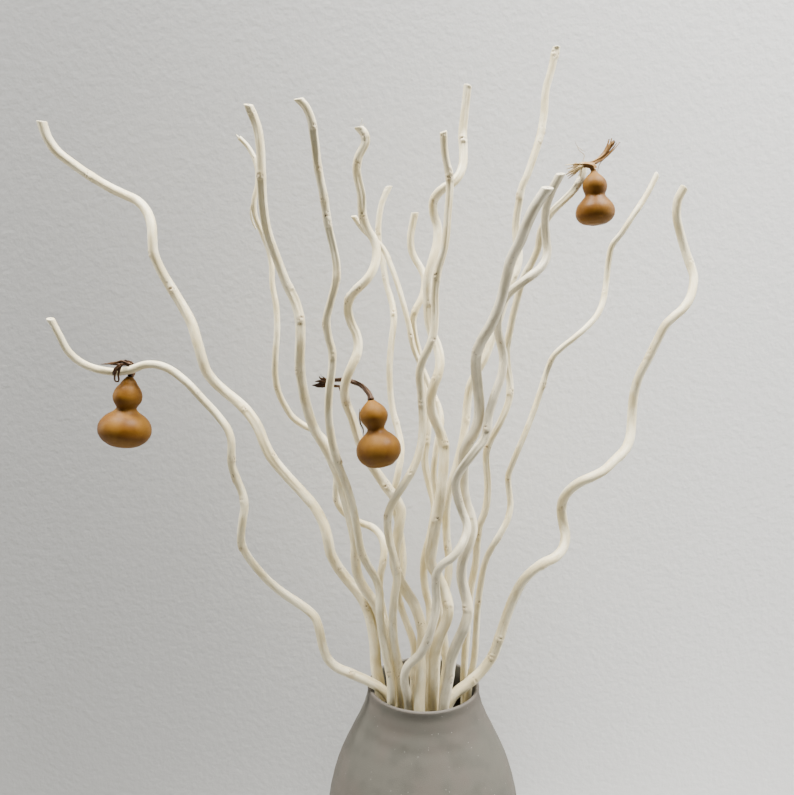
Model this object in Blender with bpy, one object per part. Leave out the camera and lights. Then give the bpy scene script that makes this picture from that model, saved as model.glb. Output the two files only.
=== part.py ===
"""Curly willow stems and three dried bottle gourds, standing in a matt stoneware vase.

Metres, +Z up. The origin is the middle of the vase's underside, -Y is the front.
"""
import math

import bmesh
import bpy
import numpy as np
from mathutils import Vector

for old_object in list(bpy.data.objects):
    bpy.data.objects.remove(old_object, do_unlink=True)

CM = 0.01
MM = 0.001

# The vase: a thrown bottle form with a short neck and a wide shoulder.
VASE_HEIGHT = 0.266
ROUTE_ZERO = 0.260              # height above the table that the stems' routes are measured from
VASE_WALL = 0.0036
VASE_FLOOR = 0.006
VASE_SIDES = 40
# (radius, height) in centimetres, from the edge of the foot up to the rim
VASE_OUTLINE = [
    (6.1, 0.0), (6.6, 0.35), (7.9, 2.4), (9.05, 5.6), (9.6, 9.4), (9.6, 12.6), (9.2, 15.7), (8.4, 18.6),
    (7.25, 21.2), (6.25, 23.3), (5.73, 24.7), (5.5, 25.7), (5.45, 26.6)]
VASE_RINGS = 13

# The stems.
STEM_SIDES = 6
SAMPLE_STEP = 4 * MM            # spacing of the points that a stem is worked out on
RING_ERROR = 0.55 * MM          # how far the faceted stem may leave its smooth centre line
RING_SPACING = 28 * MM          # the longest straight run between two rings
STEM_GAP = 1.6 * MM             # the least air between two stems
FOOT_SPREAD = 1.08              # feet on the vase floor stand this much wider than in the mouth
FOOT_CLEARANCE = 0.4 * MM
FOOT_BOW = 1.2 * MM             # how far a stem bends to and fro on its way down inside the vase
INSIDE_SHARES = (0.12, 0.4, 0.8)    # how far down inside the vase a stem's line is pinned
SWING_REACH = 65 * MM           # a stem's swings are measured from its line averaged over this reach
TWIST = 34 * MM                 # depth of the swing that follows a sideways one, a quarter turn on
TWIST_START = 4 * CM            # no twist below this height above the mouth, where the stems are packed
LEAN_SMOOTHING = 20 * MM
SETTLE_ROUNDS = 50
SETTLE_SMOOTHING = 12 * MM
SETTLE_SHARE = 0.9              # how much of the missing air each round makes up
CLOSE_PASS = 18 * MM            # stems that never come this close, seen from the front, can't touch
HELD_BELOW = 1.5 * CM           # up to this height above the mouth a stem doesn't slide
HELD_FADE = 3 * CM              # and over this much more it comes free
HELD_POWER = 0.1                # how gently the hold lets go of what a stem has already slid

# Stems are drawn as they are seen from this point in front of the vase, on the upright plane
# through the vase's axis. Each point then slides along its line of sight to its own depth.
EYE = np.array((-0.026, -0.736, ROUTE_ZERO + 0.406))

PEELED_WILLOW = (0.80, 0.76, 0.64)
GREYED_WILLOW = (0.66, 0.64, 0.58)
GOURD_SKIN = (0.45, 0.22, 0.07)
STONEWARE = (0.31, 0.28, 0.26)


class Stem:
    """One peeled stem. Widths are in millimetres, places in centimetres.

    widths  across the tip, half way down, and at the foot
    mouth   where the stem crosses the vase's mouth, as (across, back)
    elbow   points between the mouth and the foot, as (across, back, up)
    lean    how far back the stem stands at some heights above the mouth, as (up, back)
    route   the stem seen from the front, from the tip down to just above the mouth, as (across, up)
    """

    def __init__(self, name, widths, mouth, lean, route, elbow=(), colour=PEELED_WILLOW):
        self.name = name
        self.widths = widths
        self.mouth = mouth
        self.lean = lean
        self.route = route
        self.elbow = elbow
        self.colour = colour


# In this list a stem passes in front of every later one that it crosses.
STEMS = [
    Stem("stem_right_front", (8.5, 10.0, 10.6), (1.75, -4.05),
         [(0, -4.05), (8, -4.4), (16, -4.2), (22.5, -4.0), (30, -6.0), (40, -9.5), (48, -12.5)],
         [(10.9, 48.1), (10.0, 46.7), (9.2, 45.2), (8.9, 44.1), (8.1, 42.6), (7.6, 41.2), (7.2, 39.3),
          (6.7, 37.4), (6.0, 35.8), (5.2, 34.4), (4.7, 33.0), (4.8, 31.1), (5.1, 28.0), (5.0, 26.8),
          (4.5, 25.4), (3.9, 24.4), (3.7, 23.1), (3.7, 20.0), (4.1, 18.4), (4.6, 16.8), (4.5, 15.6),
          (3.9, 13.8), (3.6, 12.0), (3.9, 10.2), (4.3, 8.1), (3.8, 6.0), (3.0, 4.1), (2.6, 2.2),
          (2.4, 0.3)], colour=GREYED_WILLOW),
    Stem("stem_right_twisting", (7.0, 7.7, 8.6), (-1.45, -3.6),
         [(0, -3.6), (1.8, -4.3), (3.5, -4.6), (8, -5.0), (13, -5.2), (22.5, -5.8), (30, -5.5), (37, -6.0),
          (49, -8.5)],
         [(12.0, 49.3), (11.4, 48.1), (10.9, 46.9), (10.7, 45.5), (10.8, 44.1), (11.0, 42.5), (10.9, 41.6),
          (10.2, 40.8), (9.1, 39.9), (7.8, 38.9), (7.2, 38.2), (6.8, 37.1), (6.6, 35.8), (6.8, 34.7),
          (7.2, 33.1), (7.2, 31.7), (6.7, 29.9), (6.0, 27.6), (5.9, 26.3), (5.6, 25.2), (4.6, 23.8),
          (3.7, 22.5), (3.0, 21.3), (3.1, 19.7), (3.6, 18.1), (4.1, 16.5), (3.7, 15.0), (2.8, 13.6),
          (1.7, 12.7), (1.1, 11.4), (1.2, 10.0), (1.2, 8.4), (0.8, 6.5), (0.3, 4.9), (-0.5, 3.4),
          (-1.6, 2.3), (-1.8, 1.8)], colour=GREYED_WILLOW),
    Stem("stem_left_front", (6.3, 7.4, 8.4), (-3.15, -3.3),
         [(0, -3.3), (10, -3.8), (20, -4.5), (40, -7.5), (56, -11.0)],
         [(-11.3, 55.7), (-10.4, 54.6), (-10.0, 52.9), (-9.8, 50.8), (-9.4, 48.6), (-9.0, 46.3),
          (-8.7, 44.1), (-8.2, 42.1), (-8.1, 40.2), (-8.5, 38.5), (-8.9, 36.9), (-9.1, 35.7), (-8.8, 34.3),
          (-8.5, 33.0), (-8.7, 31.5), (-8.9, 29.8), (-9.0, 27.6), (-8.8, 25.5), (-8.1, 22.6), (-7.4, 20.7),
          (-6.9, 18.8), (-6.5, 17.0), (-6.2, 14.8), (-5.7, 13.2), (-4.8, 11.7), (-4.3, 10.2), (-4.3, 8.6),
          (-4.2, 6.7), (-3.8, 4.1), (-3.4, 2.0), (-3.2, 0.6)]),
    Stem("stem_middle_front", (6.0, 7.6, 8.4), (-2.25, -2.7),
         [(0, -2.7), (3, -3.2), (8, -4.0), (18, -5.0), (30, -5.5), (42, -6.5), (53, -8.0)],
         [(1.5, 52.9), (1.6, 51.2), (2.0, 49.7), (2.1, 48.5), (2.0, 46.2), (1.7, 42.8), (1.2, 41.1),
          (0.9, 39.3), (0.8, 35.3), (0.3, 33.6), (-0.4, 32.2), (-0.4, 30.0), (-0.2, 26.8), (-0.4, 24.4),
          (-1.2, 22.0), (-2.0, 20.7), (-3.3, 18.3), (-3.5, 16.6), (-3.1, 14.2), (-2.6, 11.8), (-2.9, 9.3),
          (-3.0, 6.7), (-2.8, 4.4), (-2.4, 2.2), (-2.3, 0.4)]),
    Stem("stem_middle_gourd", (6.9, 9.6, 12.0), (-0.5, -4.3),
         [(0, -4.3), (2, -3.7), (4, -3.2), (8, -3.0), (16, -2.6), (30, -2.5), (42, -3.0), (53, -4.5)],
         [(-6.0, 53.3), (-5.4, 52.7), (-5.5, 51.8), (-6.0, 50.9), (-6.2, 49.9), (-6.0, 48.6), (-5.7, 46.9),
          (-5.7, 45.7), (-5.3, 44.5), (-4.8, 43.7), (-4.4, 42.7), (-4.6, 41.5), (-4.9, 40.5), (-5.8, 39.5),
          (-6.8, 38.5), (-7.1, 37.3), (-6.9, 36.2), (-6.3, 34.8), (-6.2, 33.6), (-6.7, 32.2), (-7.3, 30.8),
          (-7.5, 29.5), (-7.2, 28.2), (-6.6, 26.7), (-6.2, 25.1), (-5.5, 23.5), (-4.6, 22.0), (-3.1, 19.8),
          (-2.3, 18.6), (-2.3, 17.4), (-2.5, 15.8), (-2.8, 14.3), (-2.8, 12.8), (-2.2, 10.9), (-1.4, 9.6),
          (-0.7, 8.2), (-0.3, 6.7), (-0.1, 5.4), (-0.3, 4.0), (-0.2, 2.3), (-0.4, 0.3)]),
    Stem("stem_middle_tall", (7.1, 9.7, 13.4), (0.8, -3.1),
         [(0, -3.1), (6, -3.0), (13, -2.8), (25, -2.6), (33, -2.8), (45, -1.0), (57, 1.5)],
         [(3.6, 56.8), (3.4, 54.8), (3.2, 52.6), (3.3, 50.2), (2.9, 49.1), (2.3, 48.4), (1.1, 47.7),
          (0.6, 46.6), (0.8, 45.3), (1.1, 44.5), (1.0, 43.2), (0.6, 41.6), (0.2, 40.0), (0.2, 38.7),
          (0.5, 35.3), (1.0, 34.2), (1.3, 32.9), (1.3, 31.6), (0.8, 30.2), (0.5, 28.7), (0.9, 27.0),
          (1.5, 25.7), (1.8, 24.4), (1.8, 22.5), (1.4, 18.7), (0.8, 15.0), (0.6, 13.2), (1.4, 11.5),
          (2.1, 9.8), (2.4, 7.8), (1.8, 6.0), (1.2, 4.1), (1.1, 2.2), (1.0, 0.4)]),
    Stem("stem_left_gourd", (6.6, 8.1, 11.2), (-3.4, -1.4),
         [(0, -1.4), (3, -1.3), (12, -1.5), (27, -2.5), (36, -3.5)],
         [(-34.4, 36.4), (-33.7, 34.9), (-33.0, 33.4), (-31.6, 32.2), (-29.8, 31.6), (-27.9, 31.5),
          (-26.1, 32.1), (-24.6, 32.1), (-22.8, 31.1), (-21.0, 29.2), (-19.1, 27.0), (-18.2, 25.3),
          (-18.2, 22.6), (-17.6, 20.8), (-17.1, 19.1), (-17.3, 17.3), (-17.5, 14.8), (-16.4, 12.8),
          (-14.9, 11.0), (-13.1, 9.5), (-11.4, 8.3), (-10.5, 7.3), (-10.0, 5.1), (-9.2, 2.8), (-7.2, 1.6),
          (-5.2, 0.75)], elbow=[(-3.1, -1.65, -2.0)]),
    Stem("stem_left_tall", (7.6, 9.8, 9.4), (-2.7, 0.2),
         [(0, 0.2), (20, -1.0), (40, -3.0), (55, -5.0)],
         [(-15.7, 55.2), (-15.1, 53.7), (-14.8, 52.4), (-14.7, 48.6), (-14.6, 46.3), (-14.4, 44.7),
          (-13.8, 42.6), (-13.1, 40.8), (-12.7, 39.6), (-11.9, 37.9), (-11.5, 36.2), (-11.5, 34.2),
          (-11.6, 32.4), (-11.4, 30.2), (-11.0, 28.2), (-10.5, 26.4), (-9.6, 24.8), (-8.6, 22.8),
          (-7.9, 20.8), (-7.4, 18.9), (-6.9, 16.7), (-6.6, 14.8), (-6.5, 12.2), (-5.9, 10.6), (-5.0, 9.3),
          (-4.3, 7.7), (-3.7, 5.6), (-3.2, 3.0), (-2.8, 1.2)]),
    Stem("stem_far_right", (8.0, 9.3, 11.8), (2.4, -2.4),
         [(0, -2.4), (1.5, -1.9), (4, -1.7), (12, -1.5), (22, 0.0), (35, 2.0), (48, 3.5)],
         [(23.1, 48.1), (22.7, 47.4), (22.5, 46.1), (22.8, 44.6), (23.3, 43.0), (23.9, 41.5), (24.4, 40.2),
          (24.3, 38.8), (24.0, 37.9), (23.1, 36.8), (22.1, 35.9), (21.5, 34.7), (20.9, 33.2), (20.1, 31.7),
          (19.6, 30.2), (19.4, 29.0), (19.3, 25.9), (19.1, 24.6), (18.3, 23.5), (16.6, 21.8), (15.0, 21.1),
          (13.8, 20.2), (13.1, 19.0), (13.1, 17.7), (13.4, 16.3), (13.5, 15.0), (12.8, 13.7), (11.3, 12.8),
          (10.0, 11.7), (9.2, 10.5), (8.5, 8.9), (7.9, 7.1), (7.3, 5.0), (6.7, 3.3), (5.6, 1.7),
          (4.4, 0.5), (3.3, -0.3)], elbow=[(2.1, -2.45, -2.2)]),
    Stem("stem_right_thin", (5.2, 5.8, 8.8), (4.4, -0.3),
         [(0, -0.3), (4, -0.6), (10, -1.6), (20, -2.5), (33, -1.0), (49, 2.0)],
         [(20.6, 49.2), (19.9, 47.7), (19.0, 46.2), (18.1, 44.8), (17.4, 43.7), (16.8, 42.9), (16.6, 41.7),
          (16.3, 38.4), (15.9, 37.0), (15.0, 35.8), (13.8, 34.7), (12.7, 33.8), (11.9, 33.0), (11.4, 31.9),
          (11.0, 30.5), (10.5, 28.9), (10.2, 27.9), (9.6, 26.2), (9.0, 24.6), (8.3, 22.8), (7.9, 21.4),
          (8.1, 19.7), (8.2, 18.4), (7.7, 16.7), (6.9, 15.2), (6.1, 13.7), (5.7, 12.0), (5.3, 9.4),
          (5.1, 5.4), (5.0, 3.4), (4.7, 1.5)]),
    Stem("stem_right_gourd", (5.8, 7.0, 7.9), (4.1, 0.8),
         [(0, 0.8), (10, 0.2), (18, -0.9), (30, -3.0), (40, -4.0), (50, -5.5)],
         [(14.1, 50.2), (14.0, 49.4), (13.6, 48.4), (12.7, 47.3), (11.7, 46.4), (11.2, 45.7), (10.4, 44.4),
          (10.2, 42.9), (9.7, 41.6), (9.0, 40.4), (8.6, 38.7), (8.1, 37.0), (7.8, 35.3), (7.5, 33.7),
          (7.7, 31.4), (7.9, 30.2), (7.8, 28.7), (7.0, 26.6), (6.3, 25.2), (5.8, 24.0), (5.9, 22.2),
          (6.0, 20.0), (5.9, 18.7), (5.5, 17.2), (5.1, 16.0), (5.1, 14.4), (4.9, 12.5), (4.6, 10.9),
          (4.3, 7.5), (4.1, 4.4), (4.0, 2.2), (4.0, 0.9)]),
    Stem("stem_middle_slanting", (5.0, 6.0, 6.8), (0.7, -1.85),
         [(0, -1.85), (10, -1.2), (22, 0.0), (32, 1.5), (45, 2.5)],
         [(-6.5, 45.6), (-6.0, 44.8), (-5.0, 43.8), (-4.0, 42.9), (-3.3, 41.5), (-2.6, 39.6), (-2.0, 37.7),
          (-1.5, 35.7), (-1.1, 33.8), (-0.5, 32.4), (0.4, 30.3), (1.1, 28.5), (1.6, 26.9), (1.3, 25.7),
          (0.9, 22.5), (0.9, 21.2), (1.3, 18.7), (1.3, 16.7), (1.0, 14.5), (0.8, 12.8), (1.2, 10.7),
          (1.6, 8.7), (1.4, 6.1), (0.9, 3.5), (0.7, 1.2)]),
    Stem("stem_middle_thin", (5.5, 6.8, 7.4), (-1.0, -1.7),
         [(0, -1.7), (10, -1.0), (20, -0.5), (35, 2.5), (48, 6.5)],
         [(-3.3, 48.2), (-3.9, 46.9), (-4.2, 45.4), (-4.3, 43.9), (-4.0, 42.4), (-3.7, 40.2), (-3.3, 38.5),
          (-2.9, 37.1), (-3.0, 35.4), (-3.3, 31.8), (-3.2, 29.4), (-2.8, 27.0), (-2.3, 25.2), (-2.2, 23.8),
          (-2.5, 21.9), (-2.9, 19.2), (-2.5, 17.2), (-2.0, 13.3), (-2.2, 11.2), (-2.5, 9.7), (-2.3, 8.8),
          (-1.9, 7.6), (-1.4, 6.1), (-1.0, 4.8), (-1.0, 3.3), (-1.0, 0.8)]),
    Stem("stem_middle_short", (6.7, 7.4, 8.3), (0.4, -0.9),
         [(0, -0.9), (10, 0.2), (20, 1.5), (35, 3.0), (46, 4.5)],
         [(-1.0, 45.9), (-1.2, 44.4), (-1.4, 42.9), (-0.9, 41.7), (-0.2, 40.6), (-0.1, 39.4), (-0.3, 38.3),
          (-1.0, 37.0), (-1.1, 35.5), (-0.8, 34.0), (-0.4, 32.4), (0.0, 28.8), (0.3, 25.8), (0.0, 23.7),
          (0.2, 21.9), (0.6, 20.2), (0.9, 19.4), (0.9, 17.7), (0.6, 15.8), (0.0, 13.3), (0.0, 11.5),
          (0.2, 9.9), (0.6, 8.1), (0.5, 5.6), (0.3, 3.0), (0.4, 0.8)]),
    Stem("stem_tallest", (7.0, 7.7, 8.3), (1.75, -1.0),
         [(0, -1.0), (12, -0.5), (25, 0.0), (40, 2.0), (60, 6.0)],
         [(11.3, 60.0), (11.0, 58.4), (10.5, 56.6), (10.4, 55.0), (10.2, 53.1), (9.7, 51.3), (9.2, 49.6),
          (8.5, 47.9), (8.3, 46.2), (8.1, 43.9), (8.4, 42.6), (8.4, 41.4), (7.9, 40.1), (7.4, 38.5),
          (6.8, 36.5), (6.0, 34.1), (5.3, 32.3), (4.7, 31.3), (4.3, 30.5), (4.1, 29.8), (3.7, 25.8),
          (3.0, 22.5), (2.2, 19.4), (2.1, 18.0), (2.1, 16.3), (2.4, 12.4), (2.1, 10.2), (1.9, 7.7),
          (2.0, 4.5), (2.2, 3.3), (2.0, 1.7)]),
    Stem("stem_left_forked", (4.4, 7.1, 7.8), (-3.0, 1.6),
         [(0, 1.6), (16, 1.0), (26, 1.5), (40, 1.0), (52, 2.0)],
         [(-16.6, 52.4), (-16.2, 52.1), (-15.6, 51.2), (-15.2, 50.3), (-15.0, 48.7), (-15.4, 47.0),
          (-15.4, 45.9), (-14.9, 44.5), (-14.4, 43.0), (-14.0, 41.8), (-14.0, 40.0), (-13.7, 37.9),
          (-13.6, 35.9), (-13.9, 31.8), (-13.8, 30.2), (-13.4, 29.0), (-12.7, 27.7), (-11.9, 26.7),
          (-10.9, 26.3), (-10.1, 25.7), (-9.4, 25.0), (-8.9, 23.9), (-8.5, 22.6), (-8.3, 21.3),
          (-8.4, 19.5), (-7.8, 18.1), (-6.8, 17.3), (-5.7, 16.8), (-4.5, 16.2), (-3.9, 14.8), (-3.9, 13.3),
          (-4.2, 11.8), (-4.3, 10.2), (-4.1, 8.8), (-3.4, 5.1), (-3.2, 3.2), (-3.1, 1.4)]),
    Stem("stem_far_left", (8.8, 10.2, 11.3), (-4.3, 0.1),
         [(0, 0.1), (10, 0.5), (25, 2.0), (54, 5.0)],
         [(-34.0, 53.8), (-33.3, 51.8), (-30.6, 49.5), (-27.8, 47.8), (-25.6, 46.7), (-24.7, 44.9),
          (-24.7, 42.7), (-24.2, 41.1), (-22.8, 38.5), (-21.5, 36.1), (-20.7, 33.0), (-20.2, 31.4),
          (-19.0, 30.0), (-16.8, 28.0), (-15.5, 26.0), (-14.9, 24.2), (-13.2, 21.8), (-11.2, 19.5),
          (-10.0, 17.8), (-9.3, 15.7), (-8.9, 13.7), (-7.8, 11.8), (-6.4, 10.0), (-5.6, 8.6), (-5.1, 6.8),
          (-4.8, 4.9), (-4.7, 2.8), (-4.5, 1.0)]),
]
# The twisting stem passes behind the right front one high up, and in front of it below this height.
WEAVE = ("stem_right_front", "stem_right_twisting")
WEAVE_HEIGHT = ROUTE_ZERO + 0.30


class Gourd:
    """One small bottle gourd with its stalk. Its stalk's places are in millimetres from the hook.

    hook     the point of the stem that the stalk is hooked over, as seen from the front, in centimetres
    stalk    (across, back, up) from the stalk's free end, round the stem, to the gourd's neck
    width    across the lower bulb, in millimetres, and length from neck to bottom
    outline  (height share from the bottom, share of the width) from the neck down
    tilt     how far the bottom swings across and back for each unit down
    """

    def __init__(self, name, stem, hook, stalk, width, length, outline, tilt):
        self.name = name
        self.stem = stem
        self.hook = hook
        self.stalk = stalk
        self.width = width
        self.length = length
        self.outline = outline
        self.tilt = tilt


GOURD_SIDES = 10
GOURD_STALK_STEP = 3.4 * MM
GOURD_OUTLINE_STEP = 0.11       # as a share of the gourd's length and width
GOURD_STALK = 3.4 * MM
GOURD_TENDRIL = 2.0 * MM
GOURDS = [
    Gourd("gourd_left", "stem_left_gourd", (-27.6, 31.5),
          [(-9, -9, -3), (-7, -8.5, 2), (-3, -6, 6), (0, 0, 8), (2.5, 5.5, 5.5), (3.5, 7.5, 0),
           (2.5, 5, -5.5), (1, 1.5, -7.5)],
          width=48, length=64,
          outline=[(1.0, 0.12), (0.96, 0.22), (0.86, 0.43), (0.73, 0.53), (0.65, 0.48), (0.57, 0.385),
                   (0.50, 0.52), (0.40, 0.85), (0.27, 1.0), (0.13, 0.87), (0.04, 0.5), (0.0, 0.12)],
          tilt=(-0.08, -0.03)),
    Gourd("gourd_middle", "stem_middle_gourd", (-7.3, 30.3),
          [(-28, 3, 4), (-22, 6, 6), (-8, 9, 5.5), (2, 9.5, 4), (12, 3, 2), (18, -8, -3), (22, -16, -12)],
          width=40, length=58.5,
          outline=[(1.0, 0.14), (0.96, 0.28), (0.88, 0.56), (0.77, 0.64), (0.67, 0.56), (0.57, 0.40),
                   (0.50, 0.54), (0.40, 0.86), (0.28, 1.0), (0.13, 0.86), (0.04, 0.5), (0.0, 0.12)],
          tilt=(0.18, -0.08)),
    Gourd("gourd_right", "stem_right_gourd", (13.9, 49.4),
          [(27, -2, 22), (21, 0, 15), (13, 3, 9), (5, 6, 6), (-3, 5.5, 5), (-6, 0, 4.5),
           (-3.5, -5.5, 4), (2.5, -7.5, 4), (7.5, -7.5, 3), (9.5, -7.5, 0.5)],
          width=32, length=44,
          outline=[(1.0, 0.16), (0.95, 0.34), (0.85, 0.56), (0.71, 0.63), (0.62, 0.58), (0.53, 0.54),
                   (0.46, 0.66), (0.37, 0.90), (0.26, 1.0), (0.12, 0.86), (0.04, 0.5), (0.0, 0.12)],
          tilt=(0.03, -0.02)),
]


def smooth_curve(points, step):
    """Points every step along a centripetal Catmull-Rom curve through the given points."""
    points = np.asarray(points, dtype=float)
    before = 2 * points[0] - points[1]
    after = 2 * points[-1] - points[-2]
    padded = np.vstack((before, points, after))
    fine = []
    for a, b, c, d in zip(padded, padded[1:], padded[2:], padded[3:]):
        knot_b = math.sqrt(np.linalg.norm(b - a))
        knot_c = knot_b + math.sqrt(np.linalg.norm(c - b))
        knot_d = knot_c + math.sqrt(np.linalg.norm(d - c))
        for t in np.linspace(knot_b, knot_c, 24, endpoint=False):
            ab = a + (b - a) * t / knot_b
            bc = b + (c - b) * (t - knot_b) / (knot_c - knot_b)
            cd = c + (d - c) * (t - knot_c) / (knot_d - knot_c)
            abc = ab + (bc - ab) * t / knot_c
            bcd = bc + (cd - bc) * (t - knot_b) / (knot_d - knot_b)
            fine.append(abc + (bcd - abc) * (t - knot_b) / (knot_c - knot_b))
    fine.append(points[-1])
    fine = np.array(fine)
    along = distance_along(fine)
    count = max(2, round(along[-1] / step) + 1)
    wanted = np.linspace(0, along[-1], count)
    return np.column_stack([np.interp(wanted, along, fine[:, k]) for k in range(fine.shape[1])])


def distance_along(points):
    """Length of the line from its first point to each of its points."""
    steps = np.linalg.norm(np.diff(points, axis=0), axis=1)
    return np.concatenate(([0.0], np.cumsum(steps)))


def blurred(values, reach):
    """The values along a stem, each averaged with its neighbours by a bell of the given reach."""
    half = math.ceil(2.5 * reach / SAMPLE_STEP)
    bell = np.exp(-0.5 * (np.arange(-half, half + 1) * SAMPLE_STEP / reach) ** 2)
    weight = np.convolve(np.ones(len(values)), bell, mode="same")
    return np.convolve(values, bell, mode="same") / weight


def seen_at(across, up, back):
    """The point at depth back that is seen where (across, up) is drawn on the upright plane."""
    drawn = np.array((across, 0.0, ROUTE_ZERO + up))
    return EYE + (drawn - EYE) * (back - EYE[1]) / -EYE[1]


def route_above_mouth(stem):
    """The stem from its tip to the last drawn point, with its lean and its twist."""
    drawn = smooth_curve(np.array(stem.route) * CM, SAMPLE_STEP)
    heights, depths = np.array(stem.lean).T * CM
    back = blurred(np.interp(drawn[:, 1], heights, depths), LEAN_SMOOTHING)
    swing = drawn[:, 0] - blurred(drawn[:, 0], SWING_REACH)
    twist = TWIST * np.gradient(blurred(swing, LEAN_SMOOTHING), SAMPLE_STEP)
    back = back + twist * np.clip((drawn[:, 1] - TWIST_START) / TWIST_START, 0.0, 1.0)
    return [seen_at(across, up, depth) for (across, up), depth in zip(drawn, back)]


def whole_route(stem):
    """Centre line from the tip to the foot on the vase floor, and the radius along it."""
    across, back = stem.mouth
    mouth = np.array((across * CM, back * CM, ROUTE_ZERO))
    foot = np.array((across * CM * FOOT_SPREAD, back * CM * FOOT_SPREAD, VASE_FLOOR + FOOT_CLEARANCE))
    inside = [np.array((x, y, z)) * CM + (0, 0, ROUTE_ZERO) for x, y, z in stem.elbow]
    entry, upper, lower = (mouth + (foot - mouth) * share for share in INSIDE_SHARES)
    inside = inside or [entry]
    inside.append(upper + (0, FOOT_BOW, 0))
    inside.append(lower - (FOOT_BOW, FOOT_BOW, 0))
    path = smooth_curve(route_above_mouth(stem)[::3] + [mouth] + inside + [foot], SAMPLE_STEP)
    share = distance_along(path) / distance_along(path)[-1]
    radius = np.interp(share, (0.0, 0.5, 1.0), stem.widths) * MM / 2
    return path, radius


def pass_close(path_a, path_b, sight_a, distance):
    """Whether two stems, seen from the front, come within a distance of each other."""
    apart = path_b[None, :, :] - path_a[:, None, :]
    depth = np.einsum("ijk,ik->ij", apart, sight_a)
    return ((apart ** 2).sum(axis=2) - depth ** 2).min() < distance ** 2


def settle_apart(paths, radii):
    """Slide stems along the lines of sight until each passes clear in front of or behind the others."""
    names = [stem.name for stem in STEMS]
    count = len(paths)
    free = [np.clip((path[:, 2] - ROUTE_ZERO - HELD_BELOW) / HELD_FADE, 0.0, 1.0) for path in paths]
    held = [loose ** HELD_POWER for loose in free]
    sight = [(path - EYE) / np.linalg.norm(path - EYE, axis=1)[:, None] for path in paths]
    pairs = [(a, b) for a in range(count) for b in range(a + 1, count)
             if pass_close(paths[a], paths[b], sight[a], CLOSE_PASS)]
    start = paths
    moved = [np.zeros(len(path)) for path in paths]
    for _ in range(SETTLE_ROUNDS):
        paths = [first + line * move[:, None] for first, line, move in zip(start, sight, moved)]
        forward = [np.zeros(len(path)) for path in paths]
        backward = [np.zeros(len(path)) for path in paths]
        for a, b in pairs:
            apart = paths[b][None, :, :] - paths[a][:, None, :]
            depth = np.einsum("ijk,ik->ij", apart, sight[a])
            beside = np.sqrt(np.maximum((apart ** 2).sum(axis=2) - depth ** 2, 0.0))
            need = radii[a][:, None] + radii[b][None, :] + STEM_GAP
            wanted = np.sqrt(np.maximum(need ** 2 - beside ** 2, 0.0))
            swapped = (names[a], names[b]) == WEAVE and (paths[a][:, 2] < WEAVE_HEIGHT)[:, None]
            ahead = np.where(beside < need, np.maximum(wanted - depth, 0.0), 0.0)
            astern = np.where(beside < need, np.maximum(wanted + depth, 0.0), 0.0)
            ahead = np.where(swapped, 0.0, ahead)
            astern = np.where(swapped, astern, 0.0)
            forward[a] = np.maximum(forward[a], ahead.max(axis=1))
            backward[b] = np.maximum(backward[b], ahead.max(axis=0))
            forward[b] = np.maximum(forward[b], astern.max(axis=0))
            backward[a] = np.maximum(backward[a], astern.max(axis=1))
        for k in range(count):
            push = SETTLE_SHARE * (backward[k] - forward[k]) * free[k]
            moved[k] = (moved[k] + blurred(push, SETTLE_SMOOTHING)) * held[k]
    return paths


def ring_places(path):
    """Indices of the points that keep a faceted stem within RING_ERROR of its smooth line."""
    keep = [0]
    along = distance_along(path)
    last = len(path) - 1
    while keep[-1] < last:
        start = keep[-1]
        reach = start + 1
        for end in range(start + 2, last + 1):
            if along[end] - along[start] > RING_SPACING:
                break
            chord = path[end] - path[start]
            chord = chord / np.linalg.norm(chord)
            offset = path[start:end] - path[start]
            off_line = offset - np.outer(offset @ chord, chord)
            if np.linalg.norm(off_line, axis=1).max() > RING_ERROR:
                break
            reach = end
        keep.append(reach)
    return keep


def solid_along(name, path, radius, sides, colour, level_end=False):
    """A closed solid with round rings along a path. With level_end its last ring lies level."""
    solid = bmesh.new()
    side = None
    last = len(path) - 1
    rings = []
    for k, (centre, size) in enumerate(zip(path, radius)):
        ahead = Vector(path[min(k + 1, last)] - path[k]).normalized()
        behind = Vector(path[k] - path[max(k - 1, 0)]).normalized()
        heading = (ahead + behind).normalized()
        if k == last and level_end:
            heading = Vector((0, 0, -1))
        if side is None:
            side = heading.orthogonal()
        side = (side - heading * side.dot(heading)).normalized()
        up = heading.cross(side)
        ring = []
        for step in range(sides):
            turn = math.tau * step / sides
            outward = side * math.cos(turn) + up * math.sin(turn)
            ring.append(solid.verts.new(Vector(centre) + outward * size))
        rings.append(ring)
    for above, below in zip(rings, rings[1:]):
        for step in range(sides):
            after = (step + 1) % sides
            solid.faces.new((above[step], above[after], below[after], below[step]))
    for ring, centre in ((rings[0], path[0]), (rings[-1], path[-1])):
        middle = solid.verts.new(Vector(centre))
        for step in range(sides):
            solid.faces.new((middle, ring[step], ring[(step + 1) % sides]))
    bmesh.ops.triangulate(solid, faces=solid.faces[:])
    bmesh.ops.recalc_face_normals(solid, faces=solid.faces[:])
    return finished_object(name, solid, colour)


def finished_object(name, solid, colour, roughness=0.7):
    """Turn a bmesh into a named object with a plain material of its own."""
    mesh = bpy.data.meshes.new(name)
    solid.to_mesh(mesh)
    solid.free()
    mesh.shade_smooth()
    mesh.set_sharp_from_angle(angle=math.radians(50))
    thing = bpy.data.objects.new(name, mesh)
    bpy.context.scene.collection.objects.link(thing)
    material = bpy.data.materials.new(name)
    material.use_nodes = True
    shader = material.node_tree.nodes["Principled BSDF"]
    shader.inputs["Base Color"].default_value = (*colour, 1.0)
    shader.inputs["Roughness"].default_value = roughness
    mesh.materials.append(material)
    return thing


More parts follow.
